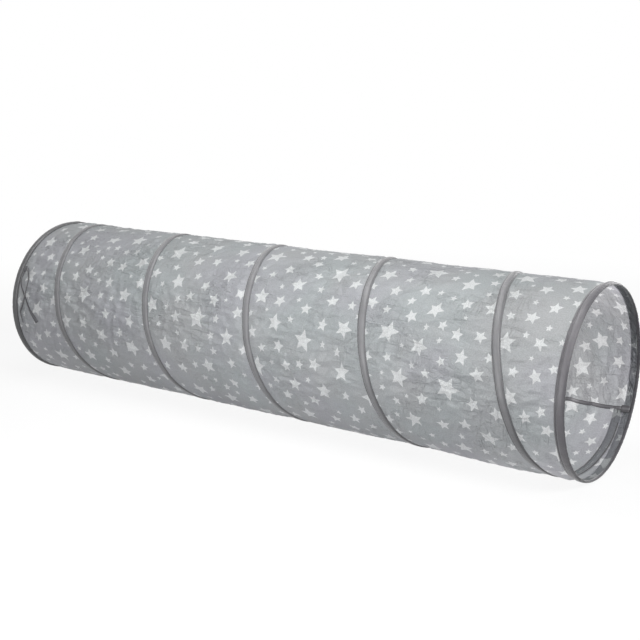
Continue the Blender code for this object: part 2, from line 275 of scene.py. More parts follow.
def smooth_step(value):
    """An even rise from 0 to 1."""
    value = np.clip(value, 0.0, 1.0)
    return value * value * (3.0 - 2.0 * value)


def past(value, start, reach):
    """An even rise from 0 to 1 over a reach that begins at start."""
    return smooth_step((value - start) / reach)


def eased(left, share):
    """A factor that is left where share is 0 and 1 where share is 1."""
    return left + (1.0 - left) * share


class Noise:
    """Gradient noise in three dimensions, the same on each run for a given seed."""

    CELLS = 256

    def __init__(self, seed):
        rng = np.random.default_rng(seed)
        self.table = np.concatenate([rng.permutation(self.CELLS)] * 2)
        directions = rng.normal(size=(self.CELLS, 3))
        self.slopes = directions / np.linalg.norm(directions, axis=1)[:, None]

    def __call__(self, x, y, z):
        points = np.stack(np.broadcast_arrays(x, y, z), axis=-1).reshape(-1, 3)
        cell = np.floor(points).astype(int)
        inside = points - cell
        fade = inside ** 3 * (inside * (inside * 6.0 - 15.0) + 10.0)
        total = np.zeros(len(points))
        for corner in range(8):
            step = np.array([corner & 1, corner >> 1 & 1, corner >> 2 & 1])
            at = (cell + step) % self.CELLS
            key = self.table[self.table[self.table[at[:, 0]] + at[:, 1]] + at[:, 2]]
            height = ((inside - step) * self.slopes[key]).sum(axis=1)
            weight = np.where(step == 1, fade, 1.0 - fade).prod(axis=1)
            total += weight * height
        return 2.0 * total.reshape(np.broadcast(x, y, z).shape)


# How far the sewn coil strays along X, and its noise: seed, steps per turn and round a turn, start
CASING_SWAY = 0.0016
SWAY_NOISE = (41, 3.0, 3.0, 5.0)


def near_setback(turns_left):
    """Distance from the near end of the coil's last part turn, which lies level beside the hem."""
    bend_turns = LEAD_IN_TURNS - NEAR_LEVEL_TURNS
    share = np.maximum(0.0, turns_left - NEAR_LEVEL_TURNS) / bend_turns
    rise = smooth_step(share)
    bend = share * share * (share - 1.0) * bend_turns
    return COIL_SETBACK * (1.0 - rise) + COIL_PITCH * (LEAD_IN_TURNS * rise + bend)


def coil_along(turn):
    """Distance along X of the even coil, a number of turns from its far end."""
    turn = np.asarray(turn, float)
    left = TURN_COUNT - turn
    far_lead = np.where(turn < LEAD_IN_TURNS, 0.5 + 0.5 * np.cos(np.pi * turn / LEAD_IN_TURNS), 0.0)
    even = FAR_END + turn * COIL_PITCH + COIL_SETBACK * far_lead
    return np.where(left < LEAD_IN_TURNS, NEAR_END - near_setback(left), even)


def turn_noise(turns, seed, per_turn, round_turn, start=0.0):
    """Noise along a band that is wound about the tunnel."""
    angle = SEAM_ANGLE + FULL_TURN * turns
    return Noise(seed)(turns * per_turn + start, np.cos(angle) * round_turn, np.sin(angle) * round_turn)


def sewn_coil(turns):
    """Distance along X of the coil as it is sewn on, which strays a little from even."""
    return coil_along(turns) + CASING_SWAY * turn_noise(turns, *SWAY_NOISE)


def level_line(place):
    """The line of a hoop or a row of stitches that stays at one place along X."""
    return lambda turns: place + 0.0 * turns


def fold_away(piece, turn=0):
    """Squash a piece that starts at a turn between the two hems as the tunnel collapses."""
    anchor = (FAR_END + FOLD_MARGIN + turn * FOLD_LENGTH / TURN_COUNT, 0.0, AXIS_HEIGHT)
    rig.squash(piece, "collapse", (1, 0, 0), anchor, keep=FOLDED_SHARE)


def settle(points):
    """The points moved along X with the hoops, which lean a little at both ends."""
    points = np.array(points, float)
    shift = np.zeros(points.shape[:-1])
    for end, across, up in LEANS:
        share = smooth_step(1.0 - np.abs(points[..., 0] - end) / LEAN_REACH)
        shift += share * (across * points[..., 1] + up * (points[..., 2] - AXIS_HEIGHT))
    points[..., 0] += shift
    return points


def tunnel_points(along, radius, angle):
    """World points at distances along X, radii and angles about the tunnel's axis."""
    along, radius, angle = np.broadcast_arrays(along, radius, angle)
    across = radius * np.cos(angle)
    height = AXIS_HEIGHT + radius * np.sin(angle)
    return settle(np.stack([along, across, height], axis=-1))


def mirrored(outline):
    """The other half of an outline of pairs, which runs on where the first half ends."""
    return [(-across, height) for across, height in reversed(outline)]


def grid_faces(rows, columns, wrap_rows=False, wrap_columns=False):
    """Corner indices of the quads of a grid of vertices, row by row."""
    row = np.arange(rows if wrap_rows else rows - 1)
    column = np.arange(columns if wrap_columns else columns - 1)
    row, column = np.meshgrid(row, column, indexing="ij")
    next_row = (row + 1) % rows
    next_column = (column + 1) % columns
    corners = [row * columns + column, next_row * columns + column,
               next_row * columns + next_column, row * columns + next_column]
    return np.stack(corners, axis=-1).reshape(-1, 4)


def enclosed(points, faces):
    """Signed volume inside a closed mesh of quads."""
    corners = points[faces]
    first = np.cross(corners[:, 1], corners[:, 2])
    second = np.cross(corners[:, 2], corners[:, 3])
    return ((first + second) * corners[:, 0]).sum()


def mesh_piece(label, points, faces, flat_uv=None, ends=()):
    """A smooth piece from vertices and quads, riding on a body, in place of a node if one is given.

    label is its name, node, slot, material and body. flat_uv gives each corner of the quads its
    place on the flat cloth, in metres. ends are further faces, which close the piece.
    """
    name, node, slot, material, body = label
    if enclosed(points, faces) < 0.0:
        faces = faces[:, ::-1]
        flat_uv = None if flat_uv is None else flat_uv[:, ::-1]
    mesh = bpy.data.meshes.new(name)
    mesh.from_pydata(points.tolist(), [], [*faces.tolist(), *map(list, ends)], shade_flat=False)
    if flat_uv is not None:
        filled = np.zeros((len(mesh.loops), 2), np.float32)
        filled[:faces.size] = flat_uv.reshape(-1, 2)
        mesh.uv_layers.new(name="flat").data.foreach_set("uv", filled.ravel())
    mesh.materials.append(material)
    piece = bpy.data.objects.new(name, mesh)
    bpy.context.scene.collection.objects.link(piece)
    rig.ride(piece, body)
    if node is not None:
        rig.replaces(piece, node)
    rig.slot(piece, slot)
    return piece


def swept_piece(label, points, flat=None, closed=False):
    """A piece made of rings of points, capped at its ends unless its last ring meets its first.

    flat gives the distance along the piece and across it, in metres, for each point.
    """
    rows, columns = points.shape[:2]
    faces = grid_faces(rows, columns, wrap_rows=closed, wrap_columns=True)
    flat_uv = None
    if flat is not None:
        u, v = (np.broadcast_to(value, (rows, columns)).reshape(-1)[faces] for value in flat)
        if closed:
            u = np.where(u.max(axis=1, keepdims=True) - u > TAPE_TURN / 2.0, u + TAPE_TURN, u)
        flat_uv = np.stack([u, v], axis=-1)
    last = rows * columns - 1
    ends = () if closed else (range(columns), range(last, last - columns, -1))
    return mesh_piece(label, points.reshape(-1, 3), faces, flat_uv, ends)


class Value:
    """A number that nodes work out, to be used in sums."""

    def __init__(self, nodes, socket):
        self.nodes = nodes
        self.socket = socket

    def __add__(self, other):
        return self.nodes.math("ADD", self, other)

    def __sub__(self, other):
        return self.nodes.math("SUBTRACT", self, other)

    def __mul__(self, other):
        return self.nodes.math("MULTIPLY", self, other)

    def __abs__(self):
        return self.nodes.math("ABSOLUTE", self)


class Nodes:
    """A short way to write the nodes of a material or a world."""

    def __init__(self, owner, output="ShaderNodeOutputMaterial"):
        owner.use_nodes = True
        self.owner = owner
        self.output = output
        self.tree = owner.node_tree
        self.tree.nodes.clear()

    def add(self, kind, links=None, **settings):
        """The outputs of a new node with these settings, its sockets linked or set."""
        node = self.tree.nodes.new(kind)
        for key, value in settings.items():
            setattr(node, key, value)
        for key, value in (links or {}).items():
            value = value.socket if isinstance(value, Value) else value
            if isinstance(value, bpy.types.NodeSocket):
                self.tree.links.new(value, node.inputs[key])
            else:
                node.inputs[key].default_value = value
        return node.outputs

    def math(self, operation, first, second=0.0, clamp=False):
        """A Math node's value."""
        links = {0: first, 1: second}
        return Value(self, self.add("ShaderNodeMath", links, operation=operation, use_clamp=clamp)[0])

    def remap(self, value, low, high, to_low=0.0, to_high=1.0, smooth=True):
        """A Map Range node's value."""
        links = {0: value, 1: low, 2: high, 3: to_low, 4: to_high}
        kind = "SMOOTHSTEP" if smooth else "LINEAR"
        return Value(self, self.add("ShaderNodeMapRange", links, interpolation_type=kind)[0])

    def mix(self, share, first, second, blend="MIX"):
        """A Mix node's colour."""
        links = {0: share, 6: first, 7: second}
        return self.add("ShaderNodeMix", links, data_type="RGBA", blend_type=blend)[2]

    def shader_mix(self, share, first, second):
        """A Mix Shader node's shader."""
        return self.add("ShaderNodeMixShader", {0: share, 1: first, 2: second})[0]

    def noise(self, vector, scale, detail=3.0, roughness=0.5, distortion=0.0):
        """A Noise Texture's value."""
        links = {"Vector": vector, "Scale": scale, "Detail": detail,
                 "Roughness": roughness, "Distortion": distortion}
        return Value(self, self.add("ShaderNodeTexNoise", links)["Fac"])

    def attribute(self, name):
        """The outputs of an Attribute node."""
        return self.add("ShaderNodeAttribute", attribute_name=name)

    def parts(self, vector):
        """X, Y and Z of a vector."""
        return [Value(self, part) for part in self.add("ShaderNodeSeparateXYZ", {0: vector})]

    def flat(self):
        """The piece's place on its flat cloth, in metres, and its first two parts."""
        place = self.add("ShaderNodeUVMap", uv_map="flat")[0]
        return place, *self.parts(place)[:2]

    def join(self, x, y, z=0.0):
        """A vector of three values."""
        return self.add("ShaderNodeCombineXYZ", {0: x, 1: y, 2: z})[0]

    def weave(self, first, second, thread):
        """Height of threads this far apart that cross along two directions."""
        ribs = self.math("SINE", first * (FULL_TURN / thread))
        return ribs * self.math("SINE", second * (FULL_TURN / thread))

    def bump(self, height, strength, distance, normal=None):
        """A Bump node's normal."""
        links = {"Height": height, "Strength": strength, "Distance": distance}
        if normal is not None:
            links["Normal"] = normal
        return self.add("ShaderNodeBump", links)[0]

    def cloth(self, colour, roughness, normal, specular, sheen):
        """A Principled shader with the sheen of cloth."""
        return self.add("ShaderNodeBsdfPrincipled", {
            "Base Color": colour, "Roughness": roughness, "Normal": normal,
            "Specular IOR Level": specular, "Sheen Weight": sheen, "Sheen Roughness": 0.4})[0]

    def finish(self, shader):
        """Link the surface and hand the material or world back."""
        self.add(self.output, {0: shader})
        return self.owner


# Print on the sheet: the radius of each size of star and how many there are
STAR_SIZES = ((0.0285, 62), (0.0240, 118), (0.0180, 262), (0.0132, 180), (0.0095, 240), (0.0066, 70))
STAR_SEED = 8
STAR_TRIES = 50
STAR_POINTS = 5.0
STAR_MARGIN = 0.0010
STAR_REACH = 0.0045
STAR_SWING = 0.85
STAR_NOTCH = 0.47
STAR_LEAST_SHARE = 0.93
STAR_SPREAD_SHARE = 0.14
# Each star is a little out of true, and the edge of its ink is ragged and soft
STAR_UNEVEN_SHARE = 0.06
STAR_PHASE = 37.0
INK_RAGGED = 0.0012
INK_SOFT = 0.0004
NO_STAR = 0.001

# Colours of the sheet and its ink
WHITE = (1.0, 1.0, 1.0, 1.0)
SHEET_COOL = (0.400, 0.432, 0.437, 1.0)
SHEET_WARM = (0.415, 0.430, 0.435, 1.0)
SHEET_LILAC = (0.410, 0.421, 0.443, 1.0)
STAR_WHITE = (0.72, 0.745, 0.74, 1.0)
# Painted shade where the tape and its stitched flanges cover the thin sheet: how much they darken its colour
TAPE_SHADE = (0.85, 0.85, 0.86, 1.0)
FLANGE_SHADE = (0.74, 0.74, 0.76, 1.0)
FLANGE_WIDTH = 0.0040
FLANGE_SOFT = 0.0005
TAPE_SOFT = 0.0007
# How the sheet colours the light that comes through it, and how much comes through
THROUGH_TINT = (1.03, 0.985, 1.005, 1.0)
THROUGH_SHARE = 0.50

# Distance round the flat sheet from its seam to where its side and its back crease most
SIDE_ON_CLOTH = 0.82
BACK_ON_CLOTH = 0.22
# Soft crumples of the side
CRUMPLE_DEPTH = 0.0062
# Creases of the slack cloth: noise scale, stretch along the tunnel, width of a line, seed
LEANING_FOLDS = (15.0, 3.0, 0.12, 13.0)
STEEP_FOLDS = (12.0, 3.0, 0.12, 15.0)
STEEP_DEPTH = 0.0024
# Long, short and upright creases: the same, then depth, and scale and limits of their patches
FINE_CREASES = (
    (45.0, 0.20, 0.07, 1.0, 0.0016, 7.0, 0.44, 0.60),
    (60.0, 0.60, 0.07, 4.0, 0.0014, 9.0, 0.50, 0.64),
    (13.0, 4.00, 0.06, 9.0, 0.0013, 7.0, 0.44, 0.60),
)
# Straight marks from being packed flat
MARK_SPACING_ALONG = 0.217
MARK_SPACING_ROUND = 0.183
MARK_OFFSET = 0.061
MARK_WIDTH = 0.0022
MARK_DEPTH = 0.0008
# Threads
SHEET_THREAD = 0.0007
SHEET_WEAVE_DEPTH = 0.0001
TAPE_THREAD = 0.0011
TAPE_WEAVE_DEPTH = 0.00015
TAPE_PUCKER_DEPTH = 0.0016


def star_layout():
    """Place, radius and turn of each star: large ones first, each in the roomiest of some places."""
    rng = np.random.default_rng(STAR_SEED)
    size = np.array([TUNNEL_LENGTH, SHEET_TURN])
    stars = np.zeros((0, 4))
    for radius, count in STAR_SIZES:
        for _ in range(count):
            spots = rng.random((STAR_TRIES, 2)) * size
            room = np.ones(STAR_TRIES)
            if len(stars):
                away = np.hypot(spots[:, None, 0] - stars[None, :, 0], spots[:, None, 1] - stars[None, :, 1])
                room = (away - stars[None, :, 2]).min(axis=1)
            best = room.argmax()
            turn = math.pi + STAR_SWING * (rng.random() - 0.5)
            size_here = radius * (STAR_LEAST_SHARE + STAR_SPREAD_SHARE * rng.random())
            if room[best] > size_here + STAR_MARGIN:
                stars = np.vstack([stars, [*spots[best], size_here, turn]])
    return stars


def star_faces(stars, u, v):
    """For each face of a grid, the place and radius of the star that it may hold, and its turn."""
    place = np.zeros((len(u), len(v), 3), np.float32)
    turn = np.zeros((len(u), len(v)), np.float32)
    edge = np.full((len(u), len(v)), STAR_REACH)
    for star_u, star_v, radius, star_turn in stars:
        rows = np.flatnonzero(np.abs(u - star_u) < radius + STAR_REACH)
        columns = np.flatnonzero(np.abs(v - star_v) < radius + STAR_REACH)
        if len(rows) and len(columns):
            window = np.ix_(rows, columns)
            beyond = np.hypot(u[rows][:, None] - star_u, v[columns][None, :] - star_v) - radius
            closer = beyond < edge[window]
            edge[window] = np.where(closer, beyond, edge[window])
            place[window] = np.where(closer[..., None], (star_u, star_v, radius), place[window])
            turn[window] = np.where(closer, star_turn, turn[window])
    return place.ravel(), turn.ravel()


def star_print(nodes, flat):
    """Share of white ink: a five-pointed star round the place that each face names."""
    turn = Value(nodes, nodes.attribute("star_turn")["Fac"])
    star_u, star_v, reach = nodes.parts(nodes.attribute("star_place")["Vector"])
    u, v = nodes.parts(flat)[:2]
    across = u - star_u
    up = v - star_v
    distance = nodes.math("SQRT", across * across + up * up)
    angle = nodes.math("ARCTAN2", across, up) + turn
    fold = math.pi / STAR_POINTS
    folded = nodes.math("PINGPONG", angle, fold)
    slope = math.atan2(1.0 - STAR_NOTCH * math.cos(fold), STAR_NOTCH * math.sin(fold))
    uneven = nodes.math("SINE", angle * 2.0 + turn * STAR_PHASE)
    reach = reach * (uneven * STAR_UNEVEN_SHARE + 1.0)
    edge = distance * nodes.math("COSINE", folded - slope) - reach * math.cos(slope)
    ragged = (nodes.noise(flat, 300.0, 2.0) - 0.5) * INK_RAGGED
    inside = nodes.remap(edge + ragged, INK_SOFT, -INK_SOFT)
    return inside * nodes.math("GREATER_THAN", reach, NO_STAR)


def creases(nodes, flat, scale, stretch, width, seed):
    """Height of thin crease lines where a stretched noise crosses its middle."""
    u, v = nodes.parts(flat)[:2]
    value = nodes.noise(nodes.join(u * stretch, v, seed), scale, 2.0, 0.45, 0.8)
    return nodes.remap(abs(value - 0.5), width, 0.0, smooth=False)


def fold_marks(nodes, u, v):
    """Height of the straight lines that the sheet keeps from being packed flat, worn away in places."""
    marks = []
    for value, spacing, seed in ((u, MARK_SPACING_ALONG, 3.0), (v, MARK_SPACING_ROUND, 7.0)):
        away = nodes.math("PINGPONG", value + MARK_OFFSET, spacing / 2.0)
        line = nodes.remap(away, MARK_WIDTH, 0.0, smooth=False)
        worn = nodes.noise(nodes.join(u, v, seed), 6.0, 2.0)
        marks.append(line * nodes.remap(worn, 0.50, 0.60))
    return nodes.math("MAXIMUM", *marks)


def sheet_colour(nodes, flat, u, v, cloud):
    """Uneven grey with a white print, and painted shade where tapes cover the thin sheet."""
    threads = nodes.noise(nodes.join(u * 3.0, v * 0.12), 420.0, 2.0)
    ink = star_print(nodes, flat) * nodes.remap(threads, 0.30, 0.60, 0.86, 1.0)
    base = nodes.mix(nodes.remap(cloud, 0.35, 0.65), SHEET_COOL, SHEET_WARM)
    lilac = nodes.noise(nodes.join(u, v, 5.0), 4.0, 2.0)
    base = nodes.mix(nodes.remap(lilac, 0.45, 0.68), base, SHEET_LILAC)
    mottle = nodes.remap(nodes.noise(flat, 330.0, 1.0), 0.3, 0.7, 0.90, 1.10)
    links = {0: nodes.mix(ink, base, STAR_WHITE), "Scale": mottle}
    colour = nodes.add("ShaderNodeVectorMath", links, operation="SCALE")[0]
    # Painted shade of the tapes over the sheet's colour, darker still under their stitched flanges
    past_tape = nodes.attribute("past_tape")["Fac"]
    flange = nodes.remap(past_tape, -FLANGE_WIDTH - FLANGE_SOFT, -FLANGE_WIDTH + FLANGE_SOFT)
    painted_tape_shade = nodes.mix(flange, TAPE_SHADE, FLANGE_SHADE)
    shade = nodes.mix(nodes.remap(past_tape, -TAPE_SOFT, TAPE_SOFT), painted_tape_shade, WHITE)
    return nodes.mix(1.0, colour, shade, "MULTIPLY")


def sheet_normal(nodes, flat, u, v):
    """The bump of the sheet's fine creases and weave."""
    crumple = nodes.noise(nodes.join(u * 0.5, v), 38.0, 2.0, 0.5, 0.6)
    crumple = crumple * nodes.remap(abs(v - SIDE_ON_CLOTH), 0.26, 0.06, 0.22, 1.0)
    normal = nodes.bump(crumple, 0.9, CRUMPLE_DEPTH)
    steep = creases(nodes, nodes.join(u + v * 0.5, v), *LEANING_FOLDS) + creases(nodes, flat, *STEEP_FOLDS)
    steep = steep * nodes.remap(abs(v - BACK_ON_CLOTH), 0.30, 0.18) * nodes.remap(u, 1.30, 1.45)
    normal = nodes.bump(steep, 1.0, STEEP_DEPTH, normal)
    for *crease, depth, scale, low, high in FINE_CREASES:
        where = nodes.remap(nodes.noise(flat, scale, 2.0), low, high)
        normal = nodes.bump(creases(nodes, flat, *crease) * where, 1.0, depth, normal)
    normal = nodes.bump(fold_marks(nodes, u, v), 1.0, MARK_DEPTH, normal)
    return nodes.bump(nodes.weave(u, v, SHEET_THREAD), 0.12, SHEET_WEAVE_DEPTH, normal)


def sheet_material():
    """Thin light grey polyester with a white print, fine creases and light that comes through."""
    nodes = Nodes(bpy.data.materials.new("printed_polyester"))
    flat, u, v = nodes.flat()
    cloud = nodes.noise(flat, 5.0, 3.0)
    colour = sheet_colour(nodes, flat, u, v, cloud)
    normal = sheet_normal(nodes, flat, u, v)
    front = nodes.cloth(colour, nodes.remap(cloud, 0.3, 0.7, 0.40, 0.50), normal, 0.5, 0.05)
    through = nodes.mix(1.0, colour, THROUGH_TINT, "MULTIPLY")
    behind = nodes.add("ShaderNodeBsdfTranslucent", {"Color": through, "Normal": normal})[0]
    return nodes.finish(nodes.shader_mix(THROUGH_SHARE, front, behind))


# Tapes: colour of the raised part, lighter with a painted highlight, and of the stitched flanges, darker with painted
# shade as well as their stitching, and how uneven the dye is
CASING_TONES = ((0.136, 0.136, 0.142, 1.0), (0.084, 0.085, 0.089, 1.0))
NEAR_HEM_TONES = ((0.094, 0.090, 0.099, 1.0), (0.070, 0.068, 0.074, 1.0))
# The far hem's tones are darker than the near hem's: painted shade for a hem that is lit less
FAR_HEM_SHADED_TONES = ((0.070, 0.070, 0.073, 1.0), (0.040, 0.040, 0.042, 1.0))
BINDING_TONES = ((0.165, 0.160, 0.168, 1.0), (0.092, 0.089, 0.095, 1.0))
DULL_SHADE = (0.86, 0.86, 0.87, 1.0)
BRIGHT_SHADE = (1.10, 1.10, 1.10, 1.0)
# Where a hem's lighter crown with its painted highlight lies: its share of the half width, and how far it is moved from
# the middle
HEM_CROWN_SHARE = 0.62
HEM_CROWN_OFFSET = 0.0025
# Thread, ties, wire, ferrules and tips
THREAD_TONE = (0.15, 0.15, 0.16, 1.0)
THREAD_TWIST = 0.0004
TIE_TONE = (0.085, 0.085, 0.092, 1.0)
TIE_RIB = 0.0009
STEEL_TONE = (0.42, 0.42, 0.43, 1.0)
FERRULE_TONE = (0.60, 0.60, 0.61, 1.0)
TIP_TONE = (0.035, 0.035, 0.035, 1.0)


def lighter(colour, factor):
    """A brighter version of a colour."""
    return tuple(min(1.0, value * factor) for value in colour[:3]) + (1.0,)


def tape_material(name, tones, half_width, crown_share=0.60, middle=0.0):
    """Woven grey tape with uneven dye: a painted highlight makes it lighter over its raised part, and painted shade,
    with the stitching, makes its flanges darker.
    """
    nodes = Nodes(bpy.data.materials.new(name))
    flat, u, v = nodes.flat()
    low, high = (crown_share - 0.06) * half_width, (crown_share + 0.12) * half_width
    # Painted highlight on the raised part and painted shade on the flanges
    colour = nodes.mix(nodes.remap(abs(v - middle), low, high), *tones)
    dye = nodes.mix(nodes.remap(nodes.noise(flat, 18.0, 4.0), 0.3, 0.7), DULL_SHADE, BRIGHT_SHADE)
    pucker = nodes.noise(nodes.join(u, v * 0.3), 130.0, 3.0)
    normal = nodes.bump(pucker, 0.5, TAPE_PUCKER_DEPTH)
    normal = nodes.bump(nodes.weave(u + v, u - v, TAPE_THREAD), 0.25, TAPE_WEAVE_DEPTH, normal)
    return nodes.finish(nodes.cloth(nodes.mix(1.0, colour, dye, "MULTIPLY"), 0.45, normal, 0.6, 0.5))


def plain_tape_material(name, colour, rib):
    """Narrow woven tape of one colour with a ribbed weave and worn patches."""
    nodes = Nodes(bpy.data.materials.new(name))
    flat, u, v = nodes.flat()
    worn = nodes.remap(nodes.noise(flat, 60.0, 4.0), 0.45, 0.75)
    normal = nodes.bump(nodes.weave(u, v, rib), 0.35, 0.0002)
    return nodes.finish(nodes.cloth(nodes.mix(worn, colour, lighter(colour, 1.5)), 0.75, normal, 0.3, 0.3))


def object_material(name, colour, roughness, metallic, grain):
    """Drawn metal or moulded plastic with a fine grain."""
    nodes = Nodes(bpy.data.materials.new(name))
    fleck = nodes.noise(nodes.add("ShaderNodeTexCoord")["Object"], grain, 4.0)
    tone = nodes.mix(nodes.remap(fleck, 0.35, 0.7), colour, lighter(colour, 1.25))
    rough = nodes.remap(fleck, 0.3, 0.7, roughness - 0.06, roughness + 0.08)
    normal = nodes.bump(fleck, 0.2, 0.0001)
    surface = nodes.add("ShaderNodeBsdfPrincipled", {
        "Base Color": tone, "Roughness": rough, "Metallic": metallic, "Normal": normal})
    return nodes.finish(surface[0])


# Sheet
SHEET_STEP = 0.0041
ROUND_STEPS = 492
SHEET_SAG_ABOVE = 0.0022
SHEET_SAG_BELOW = 0.0035
LONGEST_BELLY_SHARE = 1.2
SHORTEST_BAY = 0.02
LAST_BAY_RISE = 0.0052
# Near its near end the sheet rests on the floor between casing and hem
FLOOR_REST = 0.0042
SHEET_DRAW_IN = 0.0006
# The wires hold the sheet out between the hems, most of all beside a casing
WIRE_LIFT = 0.0010
CASING_LIFT = 0.0011
TENT_LIFT = 0.0004
TENT_PLACE = 0.009
TENT_WIDTH = 0.007
CREASE_SHARPNESS = 0.8
# Swells of the sheet: seed, cycles per metre along and round, height
SWELLS = ((11, 5.0, 20.0, 0.0026), (12, 9.0, 50.0, 0.0012))
# Creases where flat facets meet: seed, twist along X, cycles per metre along and round, height
CREASE_LAYERS = (
    (21, 0.0, 4.0, 17.0, 0.0054),
    (22, 2.2, 4.0, 20.0, 0.0046),
    (23, -2.4, 4.0, 20.0, 0.0046),
    (24, 0.5, 8.0, 44.0, 0.0018),
    (25, -5.0, 12.0, 38.0, 0.0020),
    (26, 5.5, 12.0, 38.0, 0.0020),
    (27, 0.0, 28.0, 9.0, 0.0034),
    (28, 9.0, 26.0, 30.0, 0.0022),
)
CREASE_UNEVENNESS = 0.22
UNEVEN_SEED_STEP = 50
UNEVEN_CYCLES = (26.0, 45.0)
# Long folds and crumples of the side towards the camera, in the same order
SIDE_ANGLE = math.radians(172.0)
SIDE_REACH = math.radians(38.0)
SIDE_LAYERS = (
    (81, 0.3, 5.0, 30.0, 0.0076),
    (82, -0.8, 8.0, 46.0, 0.0042),
    (83, 3.0, 26.0, 34.0, 0.0032),
)
# Steep folds of the slack cloth at the back of the near end, in the same order
SLACK_UNEVENNESS = 0.05
SLACK_LAYERS = (
    (71, 2.5, 21.0, 6.0, 0.0120),
    (72, -4.5, 18.0, 8.0, 0.0104),
    (73, 3.0, 44.0, 14.0, 0.0050),
)
# Share of the relief that is left in the calmer places
OUTSIDE_PATCH_SHARE = 0.3
SIDE_LEAST_SHARE = 0.45
TOP_SHARE = 0.75
FLOOR_SHARE = 0.5
LAST_TOP_SHARE = 0.4
SEWN_SHARE = 0.03
# Puckers beside the sewn edges
PUCKER_HEIGHT = 0.0016
PUCKER_NOISE = (31, 14.0, 85.0)
PUCKER_PLACE = 0.012
PUCKER_WIDTH = 0.018
# Where a share begins to rise from 0 and how far it takes to reach 1: distances, along X from the
# middle of the tunnel or in from an end or a sewn edge, then shares of the radius, down, up or back
LAST_BAY = (0.50, 0.1)
FLOOR_BAY = (0.66, 0.1)
SLACK_BAY = (0.45, 0.15)
HELD = (0.020, 0.03)
FREE = (0.010, 0.020)
LOW_DOWN = (0.45, 0.4)
HIGH_UP = (0.45, 0.3)
AT_BACK = (0.25, 0.4)
OFF_TOP = (-0.6, 1.0)
# Patches where creases show more or less: seed, cycles per metre along and round, and sharpness
PATCH_NOISE = (3, 4.0, 6.0)
PATCH_CONTRAST = 2.0


def coil_turns(angle):
    """Each of the turns at which the coil passes these angles, counted from its far end."""
    turn = (angle - SEAM_ANGLE) / FULL_TURN % 1.0
    return [turn + count for count in range(TURN_COUNT)]


def bays(along, angle):
    """Place across its bay, bay length and distance to the nearest sewn edge, for sheet points."""
    left = np.full_like(along, FAR_END + HEM_WIDTH)
    right = np.full_like(along, NEAR_END - HEM_WIDTH)
    for turns in coil_turns(angle):
        line = coil_along(turns)
        left = np.where(line <= along, np.maximum(left, line), left)
        right = np.where(line > along, np.minimum(right, line), right)
    length = np.maximum(right - left, SHORTEST_BAY)
    share = np.clip((along - left) / length, 0.0, 1.0)
    near = np.minimum(np.abs(along - left), np.abs(right - along))
    return share, length, near


def past_tapes(along, angle):
    """Distance along X from the nearest tape's edge, below 0 where a tape covers the sheet."""
    beyond = np.minimum(along - FAR_END, NEAR_END - along) - HEM_WIDTH
    for turns in coil_turns(angle):
        beyond = np.minimum(beyond, np.abs(along - sewn_coil(turns)) - CASING_SPAN / 2.0)
    return beyond


def round_noise(along, angle, seed, lengthwise, round_way, twist=0.0):
    """Noise on the tunnel's surface, in cycles per metre along it and round it."""
    turned = angle + twist * along
    return Noise(seed)(along * lengthwise, SHEET_RADIUS * np.cos(turned) * round_way,
                       SHEET_RADIUS * np.sin(turned) * round_way)


def held_out(along):
    """Share, from 0 under the hems to 1 between them, of what the wires lift and the folds move."""
    return past(along - FAR_END, *HELD) * past(NEAR_END - along, *HELD)


def last_bay(along):
    """Share, from 0 to 1, of the way into the last bay, whose sheet is drawn smooth on top."""
    return past(along, *LAST_BAY)


def crease_layers(layers, along, angle, unevenness=CREASE_UNEVENNESS):
    """Height of each layer of creases: half its own height on a crease's line and less beside it."""
    for seed, twist, lengthwise, round_way, height in layers:
        value = round_noise(along, angle, seed, lengthwise, round_way, twist)
        value += unevenness * round_noise(along, angle, seed + UNEVEN_SEED_STEP, *UNEVEN_CYCLES)
        yield height * (0.5 - np.abs(value) ** CREASE_SHARPNESS)


def sheet_relief(along, angle):
    """Height of the sheet's folds and creases over its own smooth surface."""
    near = bays(along, angle)[2]
    up = np.sin(angle)
    relief = np.zeros_like(along)
    for *swell, height in SWELLS:
        relief += height * round_noise(along, angle, *swell)
    patch = round_noise(along, angle, *PATCH_NOISE) * PATCH_CONTRAST
    patch = 0.5 + 0.5 * np.clip(patch, -1.0, 1.0)
    # The layers take turns to be strongest inside the patches and outside them
    shown = (patch, eased(OUTSIDE_PATCH_SHARE, 1.0 - patch))
    for count, crease in enumerate(crease_layers(CREASE_LAYERS, along, angle)):
        relief += crease * shown[count % 2]
    relief *= eased(TOP_SHARE, past(-up, *OFF_TOP))
    away = (angle - SIDE_ANGLE + math.pi) % FULL_TURN - math.pi
    side = np.exp(-(away / SIDE_REACH) ** 2) * eased(SIDE_LEAST_SHARE, patch)
    for fold in crease_layers(SIDE_LAYERS, along, angle):
        relief += fold * side
    slack = past(along, *SLACK_BAY) * past(np.cos(angle), *AT_BACK)
    for fold in crease_layers(SLACK_LAYERS, along, angle, SLACK_UNEVENNESS):
        relief += fold * slack
    relief *= eased(FLOOR_SHARE, 1.0 - past(-up, *LOW_DOWN))
    relief *= eased(LAST_TOP_SHARE, 1.0 - last_bay(along) * past(up, *HIGH_UP))
    pucker = PUCKER_HEIGHT * round_noise(along, angle, *PUCKER_NOISE)
    relief += pucker * np.exp(-((near - PUCKER_PLACE) / PUCKER_WIDTH).clip(0.0) ** 2)
    return relief * eased(SEWN_SHARE, past(near, *FREE)) * eased(SEWN_SHARE, held_out(along))


